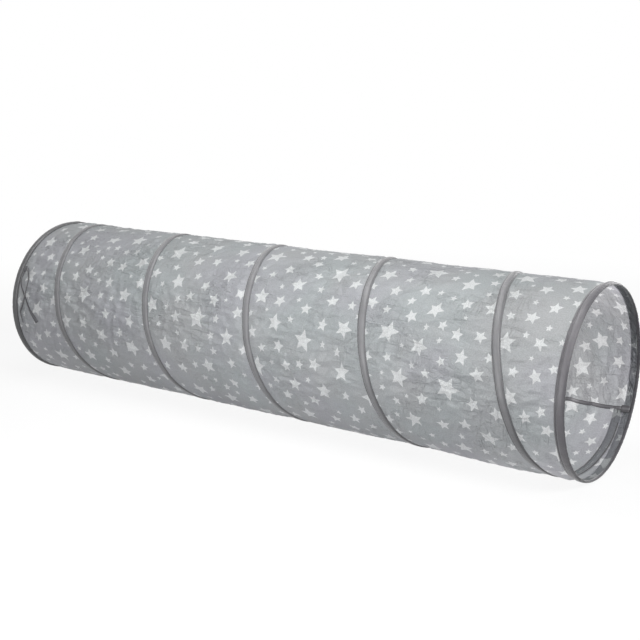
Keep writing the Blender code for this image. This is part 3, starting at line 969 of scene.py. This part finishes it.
def sheet_points(along, angle, inside=0.0):
    """World points of the sheet, held out by the wires and sagging between them, with its folds."""
    share, length, near = bays(along, angle)
    up = np.sin(angle)
    arch = 4.0 * share * (1.0 - share)
    belly = arch * np.clip(length / COIL_PITCH, 0.0, LONGEST_BELLY_SHARE) ** 1.5
    lift = WIRE_LIFT + TENT_LIFT * np.exp(-((near - TENT_PLACE) / TENT_WIDTH) ** 2)
    radius = SHEET_RADIUS + lift * held_out(along) - SHEET_DRAW_IN * belly - inside
    points = tunnel_points(along, radius + sheet_relief(along, angle), angle)
    sag = np.where(up > 0.0, SHEET_SAG_ABOVE - LAST_BAY_RISE * last_bay(along), SHEET_SAG_BELOW)
    points[..., 2] -= sag * belly * np.abs(up) ** 1.5
    rest = arch * past(along, *FLOOR_BAY)
    points[..., 2] -= FLOOR_REST * rest * np.clip(-up, 0.0, 1.0) ** 3
    points[..., 2] = np.maximum(points[..., 2], TAPE_THICKNESS)
    return points


def printed_piece(label, first, last, stars, inside=0.0):
    """Part of the printed sheet, whole round the tunnel, between two distances along X."""
    rows = round((last - first) / SHEET_STEP) + 1
    line = np.linspace(first, last, rows)
    ring = np.linspace(0.0, FULL_TURN, ROUND_STEPS, endpoint=False)
    along, angle = np.meshgrid(line, SEAM_ANGLE + ring, indexing="ij")
    points = sheet_points(along, angle, inside)
    faces = grid_faces(rows, ROUND_STEPS, wrap_columns=True)
    row, column = faces // ROUND_STEPS, faces % ROUND_STEPS
    column = np.where((column == 0) & (column.max(axis=1, keepdims=True) > 1), ROUND_STEPS, column)
    around = SHEET_TURN / ROUND_STEPS
    flat_uv = np.stack([line[row] - FAR_END, column * around], axis=-1)
    piece = mesh_piece(label, points.reshape(-1, 3), faces, flat_uv)
    middles = (line[1:] + line[:-1]) / 2.0 - FAR_END
    place, turn = star_faces(stars, middles, (np.arange(ROUND_STEPS) + 0.5) * around)
    beyond = past_tapes(along, angle).astype(np.float32).ravel()
    for name, kind, domain, key, values in (
        ("star_place", "FLOAT_VECTOR", "FACE", "vector", place),
        ("star_turn", "FLOAT", "FACE", "value", turn),
        ("past_tape", "FLOAT", "POINT", "value", beyond),
    ):
        piece.data.attributes.new(name, kind, domain).data.foreach_set(key, values)
    return piece


def add_sheet(stars):
    """The printed sheet and its two facings, which are the parts of it that the hems hold."""
    cloth = sheet_material()
    first, last = FAR_END + SHEET_INSET, NEAR_END - SHEET_INSET
    label = ("printed_sheet", "fabric_tube", "printed_sheet", cloth, "far_end")
    sheet = printed_piece(label, first, last, stars)
    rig.squash(sheet, "collapse", (1, 0, 0), (first, 0, AXIS_HEIGHT), keep=SHEET_FOLDED_SHARE)
    facings = []
    for side, end, inward in ENDS:
        low, high = sorted((end + inward * (TAPE_THICKNESS + TOUCH_GAP), end + inward * FACING_WIDTH))
        label = (side + "_facing", None, "printed_sheet", cloth, side + "_end")
        facings.append(printed_piece(label, low, high, stars, FACING_DEPTH))
    return sheet, facings


# Casings and hems
CASING_STEP = 0.0035
CROWN_STEPS = 9
CROWN_UNDER_STEPS = 7
# The flanges of a tape begin this far from its middle
FLANGE_START = 0.0070
FLANGE_FLUTTER = 0.0006
CROWN_UNEVENNESS = 0.06
# Their noise: seed, steps per turn and round a turn, and for the flutter also across the tape
FLUTTER_NOISE = (43, 40.0, 60.0)
FLUTTER_ACROSS = 90.0
CROWN_NOISE = (42, 9.0, 14.0)
CROWN_POWER = 0.7
FERRULE_BUMP = 0.0009
FERRULE_BUMP_REACH = 0.011
FERRULE_BUMP_FOOT = 0.002
# The stitches draw the hem's tape in a little
HEM_TURN_IN = 0.0015
STITCH_STEP = 0.0036
STITCH_LENGTH = 0.0024
STITCH_RADIUS = 0.00028
STITCH_END_GAPS = 8
# Place on the flat cloth of a stitch's corners, along it and from one stitch to the next
STITCH_CORNER_STEP = 0.0002
STITCH_ROW_STEP = 0.003
# Along half a stitch: share of its length, share of its thickness, and how deep it is drawn in
STITCH_PROFILE = ((-1.0, 0.35, 0.00025), (-0.45, 1.0, 0.0), (0.45, 1.0, 0.0), (1.0, 0.35, 0.00025))
# Lines of the stitches, from the middle of a casing and from the end of a hem, and their heights
CASING_STITCH_PLACE = 0.0083
CASING_STITCH_HEIGHT = 0.00055
HEM_STITCH_ROWS = ((0.0194, 0.0006), (0.0018, 0.0011))


def crown_points(first, last, foot, top, count):
    """Points of a round crown between two feet, across and height."""
    middle, half = (first + last) / 2.0, (last - first) / 2.0
    points = []
    for step in range(1, count):
        angle = math.pi * (1.0 - step / count)
        height = foot + (top - foot) * math.sin(angle) ** CROWN_POWER
        points.append((middle + half * math.cos(angle), height))
    return points


def casing_section():
    """Outline of the coil's tape as (across, height): flanges, stitched valleys and a round crown."""
    half = CASING_WIDTH / 2.0
    left = [(-half, 0.0002), (-half, 0.0007), (-0.0092, 0.0009), (-0.0082, 0.0004), (-0.0074, 0.0010)]
    top = left + crown_points(-0.0071, 0.0071, 0.0010, CROWN_HEIGHT, CROWN_STEPS)
    top += mirrored(left)
    under = [(-0.0068, 0.0001)]
    under += crown_points(-0.0065, 0.0065, 0.0005, CROWN_HEIGHT - TAPE_THICKNESS, CROWN_UNDER_STEPS)
    under.append((0.0068, 0.0001))
    return np.array(top + under[::-1])


def hem_section():
    """Outline of a hem as (inward, height): lip, fold, crown over the hoop, flange and underside."""
    inner = -0.0013
    points = [(HEM_LIP, inner - 0.0005), (0.0012, inner - 0.0005), (0.0002, inner), (0.0, -0.0003)]
    points += [(0.0004, 0.0005), (0.0014, 0.0009), (0.0026, 0.0012)]
    points += crown_points(0.0026, 0.0180, 0.0012, CROWN_HEIGHT, CROWN_STEPS)
    edge = HEM_WIDTH - HEM_TURN_IN
    points += [(0.0186, 0.0010), (0.0194, 0.0004), (0.0204, 0.0009), (edge, 0.0007), (edge, 0.0002)]
    points.append((0.0176, 0.0001))
    points += crown_points(0.0034, 0.0173, 0.0003, CROWN_HEIGHT - TAPE_THICKNESS, CROWN_UNDER_STEPS)[::-1]
    points += [(0.0032, 0.0001), (0.0009, 0.0), (0.0009, inner), (HEM_LIP, inner)]
    return np.array(points)


def ferrule_bump(turns):
    """How much a hem's crown is raised where it covers the hoop's ferrule."""
    away = (turns - FERRULE_TURNS) * SHEET_TURN
    return FERRULE_BUMP * np.exp(-(away / FERRULE_BUMP_REACH) ** 4)


def swept_band(label, section, centre, turns, widen=1.0, closed=False, bump=None, tented=False):
    """A band of this cross-section, wound about the tunnel over an array of turns."""
    turns = np.asarray(turns)[:, None]
    across, height = section[None, :, 0], section[None, :, 1]
    edge = np.abs(across) > FLANGE_START
    flutter = FLANGE_FLUTTER * turn_noise(turns, *FLUTTER_NOISE, start=across * FLUTTER_ACROSS)
    lift = 1.0 + CROWN_UNEVENNESS * turn_noise(turns, *CROWN_NOISE)
    raised = height * np.where(edge, 1.0, np.minimum(lift, 1.0))
    if bump is not None:
        raised = raised + np.where(edge, 0.0, bump(turns)) * smooth_step(height / FERRULE_BUMP_FOOT)
    along = centre(turns) + across * widen + flutter * edge
    if tented:
        raised = raised + CASING_LIFT * held_out(along) * (1.0 - height / CROWN_HEIGHT)
    points = tunnel_points(along, TAPE_RADIUS + raised, SEAM_ANGLE + FULL_TURN * turns)
    return swept_piece(label, points, (TAPE_TURN * turns, across), closed)


def stitch_rows(name, rows, material, body):
    """Short thread stitches along rows. A row is (distance along X, height, turns)."""
    quads = np.concatenate([grid_faces(4, 4, wrap_columns=True), [[3, 2, 1, 0], [12, 13, 14, 15]]])
    corner_count = 16
    all_points = []
    for along, height, turns in rows:
        along, height, turns = np.broadcast_arrays(along, height, turns)
        angle = SEAM_ANGLE + FULL_TURN * turns
        middles = tunnel_points(along, TAPE_RADIUS + height, angle)
        outward = np.stack([0.0 * angle, np.cos(angle), np.sin(angle)], axis=-1)
        run = np.gradient(middles, axis=0)
        run /= np.linalg.norm(run, axis=1)[:, None]
        side = np.cross(run, outward)
        corners = []
        for share, thick, sink in STITCH_PROFILE:
            middle = middles + run * (share * STITCH_LENGTH / 2.0) - outward * sink
            for corner in range(4):
                turned = math.pi / 4.0 + math.pi / 2.0 * corner
                offset = side * math.cos(turned) + outward * math.sin(turned)
                corners.append(middle + offset * STITCH_RADIUS * thick)
        all_points.append(np.stack(corners, axis=1).reshape(-1, 3))
    points = np.concatenate(all_points)
    starts = np.arange(0, len(points), corner_count)
    faces = (quads[None] + starts[:, None, None]).reshape(-1, 4)
    stitch, corner = faces // corner_count, faces % corner_count
    uv = np.stack([corner * STITCH_CORNER_STEP, stitch * STITCH_ROW_STEP], axis=-1)
    return mesh_piece((name, None, "grey_tape", material, body), points, faces, uv)


def add_casings(tape, thread):
    """The tape of each turn with its two rows of stitches, on the body that carries that turn."""
    section = casing_section()
    turn_length = math.hypot(TAPE_TURN, COIL_PITCH)
    half_gap = TOUCH_GAP / 2.0 / turn_length
    stitch_gap = half_gap * STITCH_END_GAPS
    widen = 1.0 / math.cos(LEAD_ANGLE)
    for count in range(TURN_COUNT):
        number = str(count + 1)
        body = "far_end" if count == 0 else "turn_" + number
        turns = np.linspace(count + half_gap, count + 1 - half_gap, round(turn_length / CASING_STEP))
        label = ("casing_tape_" + number, "casing_" + number, "grey_tape", tape, body)
        fold_away(swept_band(label, section, sewn_coil, turns, widen, tented=True), count)
        stitches = np.arange(count + stitch_gap, count + 1 - stitch_gap, STITCH_STEP / turn_length)
        rows = []
        for side in (-1.0, 1.0):
            line = sewn_coil(stitches) + side * CASING_STITCH_PLACE * widen
            rows.append((line, CASING_STITCH_HEIGHT + CASING_LIFT * held_out(line), stitches))
        fold_away(stitch_rows("casing_stitches_" + number, rows, thread, body), count)


def add_hem(side, end, inward, tape, thread):
    """One hem with its stitches. Its crown is fuller where it covers the hoop's ferrule."""
    half = HEM_WIDTH / 2.0
    section = hem_section()
    section[:, 0] = inward * (section[:, 0] - half)
    turns = np.linspace(0.0, 1.0, round(SHEET_TURN / CASING_STEP), endpoint=False)
    label = (side + "_hem_tape", side + "_hem_casing", "grey_tape", tape, side + "_end")
    band = swept_band(label, section, level_line(end + inward * half), turns, closed=True, bump=ferrule_bump)
    stitches = np.arange(0.0, 1.0, STITCH_STEP / SHEET_TURN)
    rows = [(end + inward * place, height, stitches) for place, height in HEM_STITCH_ROWS]
    return band, stitch_rows(side + "_hem_stitches", rows, thread, side + "_end")


# Wires, sleeves and tips
WIRE_SIDES = 10
COIL_STEPS = 1200
HOOP_STEPS = 260
TIP_OVERHANG = 0.0018
# Along a tip from the coil's end: share of its length, and radius
TIP_PROFILE = ((0.0, 0.0009), (0.05, 0.0017), (0.15, SLEEVE_RADIUS), (0.5, SLEEVE_RADIUS),
               (0.95, SLEEVE_RADIUS), (1.0, 0.0018))
# From a ferrule's middle: share of half its length, and radius, with a crimp near each end
FERRULE_HALF = ((0.44, SLEEVE_RADIUS), (0.52, 0.0017), (0.60, SLEEVE_RADIUS),
                (0.97, SLEEVE_RADIUS), (1.0, 0.0015))
FERRULE_PROFILE = (*mirrored(FERRULE_HALF), *FERRULE_HALF)


def wound_tube(label, centre, turns, radii):
    """A round piece that follows the wire, with a radius at each of its turns."""
    ring = np.linspace(0.0, FULL_TURN, WIRE_SIDES, endpoint=False)[None, :]
    turns = np.asarray(turns)[:, None]
    radii = np.broadcast_to(np.asarray(radii, float), (len(turns),))[:, None]
    along = centre(turns) + radii * np.cos(ring)
    radius = TAPE_RADIUS + SLEEVE_RADIUS + radii * np.sin(ring)
    points = tunnel_points(along, radius, SEAM_ANGLE + FULL_TURN * turns)
    return swept_piece(label, points)


def add_wires(steel, sleeve, plastic):
    """The coil, which folds with the tunnel, its two tips, and the hoops with their ferrules."""
    inset = COIL_END_INSET / SHEET_TURN
    turns = np.linspace(inset, TURN_COUNT - inset, COIL_STEPS)
    coil_label = ("spring_coil", "coil_wire", "spring_steel", steel, "far_end")
    fold_away(wound_tube(coil_label, sewn_coil, turns, WIRE_RADIUS))
    shares, radii = np.array(TIP_PROFILE).T
    steps = inset - TIP_OVERHANG / SHEET_TURN + TIP_LENGTH / SHEET_TURN * shares
    for side, at in (("far", steps), ("near", TURN_COUNT - steps)):
        label = (side + "_tip_cap", side + "_coil_tip", "tip_plastic", plastic, side + "_end")
        wound_tube(label, sewn_coil, at, radii)
    split = HOOP_SPLIT / 2.0 / SHEET_TURN
    turns = np.linspace(FERRULE_TURNS + split, FERRULE_TURNS + 1.0 - split, HOOP_STEPS)
    shares, radii = np.array(FERRULE_PROFILE).T
    steps = FERRULE_TURNS + FERRULE_LENGTH / 2.0 / SHEET_TURN * shares
    for side, end, inward in ENDS:
        line = level_line(end + inward * HOOP_SETBACK)
        label = (side + "_hoop", side + "_hoop_wire", "spring_steel", steel, side + "_end")
        wound_tube(label, line, turns, WIRE_RADIUS)
        label = (side + "_sleeve", side + "_ferrule", "ferrule_metal", sleeve, side + "_end")
        wound_tube(label, line, steps, radii)


# Seam binding
BINDING_STEP = 0.006
BINDING_DEPTH = 0.0007
BINDING_RIDGE = 0.0004
BINDING_STRAY = 0.0012
BINDING_SEED = 61
BINDING_WAVES = 4.0
PATCH_STEP = 0.002
PATCH_DEPTH = 0.0016


def inner_tape(label, first, last, width, step, depth):
    """A flat tape inside the tunnel, over the sheet's seam."""
    line = np.linspace(first, last, round((last - first) / step) + 1)[:, None]
    half = width / 2.0
    left = [(-half, 0.0), (-half, 0.0007), (-half * 0.80, 0.0009), (-half * 0.66, 0.0006),
            (-half * 0.45, 0.0009 + BINDING_RIDGE)]
    shape = np.array(left + mirrored(left))
    stray = BINDING_STRAY * Noise(BINDING_SEED)(line * BINDING_WAVES, 0.3, 0.7)
    across, height = shape[None, :, 0], shape[None, :, 1]
    angle = SEAM_ANGLE + (across + stray) / SHEET_RADIUS
    along = np.broadcast_to(line, angle.shape)
    middle = np.broadcast_to(SEAM_ANGLE + stray / SHEET_RADIUS, angle.shape)
    level = np.linalg.norm((sheet_points(along, middle) - [0.0, 0.0, AXIS_HEIGHT])[..., 1:], axis=-1)
    points = tunnel_points(along, level - depth - height, angle)
    return swept_piece(label, points, (along, across))


def add_seam(binding):
    """The binding over the sheet's seam and its patch beside each hem."""
    start = HEM_LIP + TOUCH_GAP
    stop = start + SEAM_PATCH_LENGTH
    label = ("seam_binding", "seam_tape", "seam_binding", binding, "far_end")
    tape = inner_tape(label, FAR_END + stop, NEAR_END - stop, SEAM_TAPE_WIDTH, BINDING_STEP, BINDING_DEPTH)
    fold_away(tape)
    for side, end, inward in ENDS:
        low, high = sorted((end + inward * start, end + inward * stop))
        label = (side + "_binding_patch", side + "_seam_patch", "seam_binding", binding, side + "_end")
        inner_tape(label, low, high, SEAM_PATCH_WIDTH, PATCH_STEP, PATCH_DEPTH)


# Ties: distance past the hem, drop below the anchor, height over the sheet, and twist in degrees
TIE_A_ROUTE = (
    (0.0085, 0.0000, 0.0018, 0), (0.0180, -0.0010, 0.0055, -4), (0.0270, 0.0020, 0.0090, -10),
    (0.0360, 0.0090, 0.0115, -16), (0.0430, 0.0185, 0.0125, -20), (0.0462, 0.0290, 0.0125, -22),
    (0.0462, 0.0400, 0.0125, -23), (0.0452, 0.0520, 0.0125, -24), (0.0440, 0.0640, 0.0125, -23),
    (0.0422, 0.0760, 0.0125, -20), (0.0385, 0.0920, 0.0125, -16), (0.0320, 0.1090, 0.0125, -14),
    (0.0250, 0.1225, 0.0125, -14), (0.0256, 0.1330, 0.0125, -16), (0.0295, 0.1420, 0.0125, -20),
    (0.0328, 0.1505, 0.0125, -24), (0.0356, 0.1600, 0.0125, -26),
)
TIE_B_ROUTE = (
    (0.0043, 0.0076, 0.0011, 0), (0.0046, 0.0170, 0.0035, -10), (0.0072, 0.0285, 0.0070, -18),
    (0.0125, 0.0415, 0.0087, -22), (0.0215, 0.0555, 0.0087, -22), (0.0325, 0.0695, 0.0087, -20),
    (0.0415, 0.0810, 0.0087, -20), (0.0490, 0.0920, 0.0087, -18), (0.0556, 0.1035, 0.0087, -14),
    (0.0630, 0.1155, 0.0087, -6), (0.0725, 0.1270, 0.0087, 10), (0.0840, 0.1385, 0.0087, 28),
    (0.0955, 0.1515, 0.0087, 36),
)
TIE_STEP = 0.003
ANCHOR_EDGE = 0.0007
ANCHOR_CREASE = 0.0005
ANCHOR_CREASE_HALF = 0.0012
ANCHOR_STEPS = 9
ANCHOR_STITCHES = 5
ANCHOR_SEWN_SHARE = 0.85
ANCHOR_STITCH_SINK = 0.0004


def smooth_route(points):
    """Points on a smooth curve through the rows of an array, a step apart in their first three values."""
    ends = np.vstack([2.0 * points[0] - points[1], points, 2.0 * points[-1] - points[-2]])
    curve = []
    for before, start, end, after in zip(ends, ends[1:], ends[2:], ends[3:]):
        count = max(1, round(np.linalg.norm((end - start)[:3]) / TIE_STEP))
        for share in np.arange(count) / count:
            pull = 2.0 * start + (end - before) * share
            pull = pull + (2.0 * before - 5.0 * start + 4.0 * end - after) * share ** 2
            pull = pull + (3.0 * start - before - 3.0 * end + after) * share ** 3
            curve.append(pull / 2.0)
    curve.append(points[-1])
    return np.array(curve)


def tie_places(route):
    """World points and twists of a tie's route. Above the axis it follows the sheet; below, it hangs."""
    places = []
    for past_hem, drop, lift, twist in route:
        height = SHEET_RADIUS * math.sin(TIE_ANGLE) - drop
        reach = SHEET_RADIUS + lift
        across = math.sqrt(reach * reach - max(height, 0.0) ** 2)
        places.append((FAR_END + HEM_WIDTH + past_hem, -across, AXIS_HEIGHT + height, math.radians(twist)))
    curve = smooth_route(np.array(places))
    return settle(curve[:, :3]), curve[:, 3]


def add_tie(name, node, route, leaving, material):
    """A limp flat tape that twists along its route."""
    path, twists = tie_places(route)
    half, thick = TIE_WIDTH / 2.0, TIE_THICKNESS / 2.0
    shape = [(-half, 0.0), (-half * 0.94, thick), (0.0, thick * 1.2), (half * 0.94, thick),
             (half, 0.0), (half * 0.94, -thick), (0.0, -thick * 0.8), (-half * 0.94, -thick)]
    rings = []
    for index, point in enumerate(path):
        run = path[min(index + 1, len(path) - 1)] - path[max(index - 1, 0)]
        run = leaving if index == 0 else run / np.linalg.norm(run)
        face = np.array([0.0, point[1], max(point[2] - AXIS_HEIGHT, 0.0)])
        side = np.cross(run, face)
        side /= np.linalg.norm(side)
        lift = np.cross(side, run)
        lift /= np.linalg.norm(lift)
        turned = side * math.cos(twists[index]) + lift * math.sin(twists[index])
        raised = lift * math.cos(twists[index]) - side * math.sin(twists[index])
        rings.append([point + turned * across + raised * up for across, up in shape])
    steps = np.concatenate([[0.0], np.linalg.norm(np.diff(path, axis=0), axis=1).cumsum()])
    flat = steps[:, None], np.array(shape)[None, :, 0]
    tie = swept_piece((name, node, "tie_tape", material, "far_end"), np.array(rings), flat)
    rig.cord(tie, exit=path[0], length=float(steps[-1]), diameter=TIE_WIDTH, far_end="bare",
            stiffness="limp", lay="hanging", path=path)


def add_ties(material, thread):
    """The folded anchor beside the far hem, and the two tapes that it holds."""
    half = ANCHOR_LENGTH / 2.0
    middle = FAR_END + HEM_WIDTH + TOUCH_GAP + half
    low, high = -TAPE_THICKNESS, ANCHOR_HEIGHT - TAPE_THICKNESS
    left = [(-half, low), (-half, high - ANCHOR_EDGE), (-half + ANCHOR_EDGE, high),
            (-ANCHOR_CREASE_HALF, high)]
    section = np.array([*left, (0.0, high - ANCHOR_CREASE), *mirrored(left)])
    reach = ANCHOR_WIDTH / 2.0 / SHEET_TURN
    turns = np.linspace(TIE_TURNS - reach, TIE_TURNS + reach, ANCHOR_STEPS)
    label = ("tie_root", "tie_anchor", "tie_tape", material, "far_end")
    swept_band(label, section, level_line(middle), turns)
    sewn = reach * ANCHOR_SEWN_SHARE
    stitches = np.linspace(TIE_TURNS - sewn, TIE_TURNS + sewn, ANCHOR_STITCHES)
    stitch_rows("tie_root_stitches", [(middle, high - ANCHOR_STITCH_SINK, stitches)], thread, "far_end")
    down = np.array([0.0, -math.sin(TIE_ANGLE), math.cos(TIE_ANGLE)])
    add_tie("tie_tape_a", "tie_a", TIE_A_ROUTE, np.array([1.0, 0.0, 0.0]), material)
    add_tie("tie_tape_b", "tie_b", TIE_B_ROUTE, down, material)


def main():
    """Dress the frame."""
    tape = tape_material("casing_tape", CASING_TONES, CASING_WIDTH / 2.0)
    # The far hem's tape is a copy darkened with painted shade
    hem_tapes = []
    for (side, _, inward), tones in zip(ENDS, (FAR_HEM_SHADED_TONES, NEAR_HEM_TONES)):
        hem_tapes.append(tape_material(side + "_hem_tape", tones, HEM_WIDTH / 2.0, HEM_CROWN_SHARE,
                                       -inward * HEM_CROWN_OFFSET))
    thread = plain_tape_material("sewing_thread", THREAD_TONE, THREAD_TWIST)
    sheet, facings = add_sheet(star_layout())
    add_casings(tape, thread)
    hems = []
    for end, hem_tape in zip(ENDS, hem_tapes):
        hems += add_hem(*end, hem_tape, thread)
    flat_size = (SHEET_TURN + SEAM_ALLOWANCE, SHEET_LENGTH)
    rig.sheet(sheet, flat=flat_size, held="stretched", with_pieces=facings + hems)
    add_wires(object_material("spring_steel", STEEL_TONE, 0.32, 1.0, 900.0),
              object_material("ferrule_metal", FERRULE_TONE, 0.38, 1.0, 700.0),
              object_material("tip_plastic", TIP_TONE, 0.50, 0.0, 500.0))
    add_seam(tape_material("binding_tape", BINDING_TONES, SEAM_TAPE_WIDTH / 2.0, 0.5))
    add_ties(plain_tape_material("tie_tape", TIE_TONE, TIE_RIB), thread)


# Floor, background and lamps
FLOOR_SIZE = 12.0
FLOOR_GLOW = 0.90
FLOOR_GRAIN = 0.01
FLOOR_TONE = (0.40, 0.40, 0.41, 1.0)
FLOOR_SEEN_TONE = (0.9, 0.9, 0.9, 1.0)
# From this far out to this far out, the floor fades to white
FADE_START = 1.2
FADE_END = 3.2
LAMPS = (
    ("side", (2.8, -0.85, 2.2), (0.6, 0.0, 0.25), 1.0, 75.0),
    ("top", (-0.1, -0.2, 1.9), (0.0, 0.0, 0.25), 1.0, 20.0),
    ("front", (0.3, -1.2, 1.9), (0.1, 0.0, 0.25), 0.8, 8.5),
    ("low", (0.2, -1.5, 0.35), (0.2, 0.0, 0.2), 0.5, 13.5),
    ("back", (0.9, 1.9, 0.7), (0.6, 0.0, 0.2), 1.0, 11.0),
)
SKY = (0.98, 0.99, 1.0, 1.0)
SKY_STRENGTH = 0.02


def seen_share(nodes):
    """1 for what the camera sees, also mirrored or through something, and 0 for what lights the object."""
    path = nodes.add("ShaderNodeLightPath")
    indirect = nodes.math("MAXIMUM", path["Is Glossy Ray"], path["Is Transmission Ray"])
    return nodes.math("MAXIMUM", path["Is Camera Ray"], indirect)


def floor_material():
    """A plain floor that the camera sees fade to white, and that keeps the object's shadow."""
    nodes = Nodes(bpy.data.materials.new("pale_floor"))
    seen = seen_share(nodes)
    place = nodes.add("ShaderNodeTexCoord")["Object"]
    away = nodes.add("ShaderNodeVectorMath", {0: place}, operation="LENGTH")["Value"]
    grain = (nodes.noise(place, 30.0, 3.0) - 0.5) * FLOOR_GRAIN
    plain = nodes.remap(away, FADE_START, FADE_END, FLOOR_GLOW, 1.0)
    share = nodes.math("MULTIPLY", seen, plain + grain, clamp=True)
    matt = nodes.add("ShaderNodeBsdfDiffuse", {"Color": nodes.mix(seen, FLOOR_TONE, FLOOR_SEEN_TONE)})[0]
    glow = nodes.add("ShaderNodeEmission", {"Color": WHITE, "Strength": 1.0})[0]
    return nodes.finish(nodes.shader_mix(share, matt, glow))


def studio_world():
    """A dim even sky that the camera sees as white."""
    nodes = Nodes(bpy.data.worlds.new("studio"), "ShaderNodeOutputWorld")
    sky = nodes.add("ShaderNodeBackground", {"Color": SKY, "Strength": SKY_STRENGTH})[0]
    white = nodes.add("ShaderNodeBackground", {"Color": WHITE, "Strength": 1.0})[0]
    return nodes.finish(nodes.shader_mix(seen_share(nodes), sky, white))


def add_stage():
    """Floor, background and lamps."""
    mesh = bpy.data.meshes.new("floor")
    corners = [(FLOOR_SIZE * x, FLOOR_SIZE * y, 0.0) for x, y in ((-1, -1), (1, -1), (1, 1), (-1, 1))]
    mesh.from_pydata(corners, [], [(0, 1, 2, 3)])
    mesh.materials.append(floor_material())
    floor = bpy.data.objects.new("floor", mesh)
    bpy.context.scene.collection.objects.link(floor)
    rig.stage(floor)
    bpy.context.scene.world = studio_world()
    for name, place, aim, size, power in LAMPS:
        lamp = bpy.data.lights.new(name, "AREA")
        lamp.size = size
        lamp.energy = power
        holder = bpy.data.objects.new(name, lamp)
        holder.location = place
        holder.rotation_euler = (Vector(aim) - Vector(place)).to_track_quat("-Z", "Y").to_euler()
        bpy.context.scene.collection.objects.link(holder)


def add_camera():
    """The photograph's view: from the front right, looking down a little, with its fitted focal length."""
    data = bpy.data.cameras.new("camera")
    data.sensor_width = SENSOR_WIDTH
    data.lens = FOCAL_PIXELS / FRAME_PIXELS * SENSOR_WIDTH
    camera = bpy.data.objects.new("camera", data)
    camera.location = CAMERA_PLACE
    camera.rotation_euler = (math.pi / 2.0 + CAMERA_PITCH, 0.0, CAMERA_YAW)
    bpy.context.scene.collection.objects.link(camera)
    bpy.context.scene.camera = camera


bpy.context.scene.view_settings.view_transform = "Standard"
add_camera()
add_stage()
main()
dressed_low, dressed_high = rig.bounds()
sizes = {"cad": [list(cad_low), list(cad_high)], "visual": [list(dressed_low), list(dressed_high)]}
with open("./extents.json", "w") as size_file:
    json.dump(sizes, size_file)
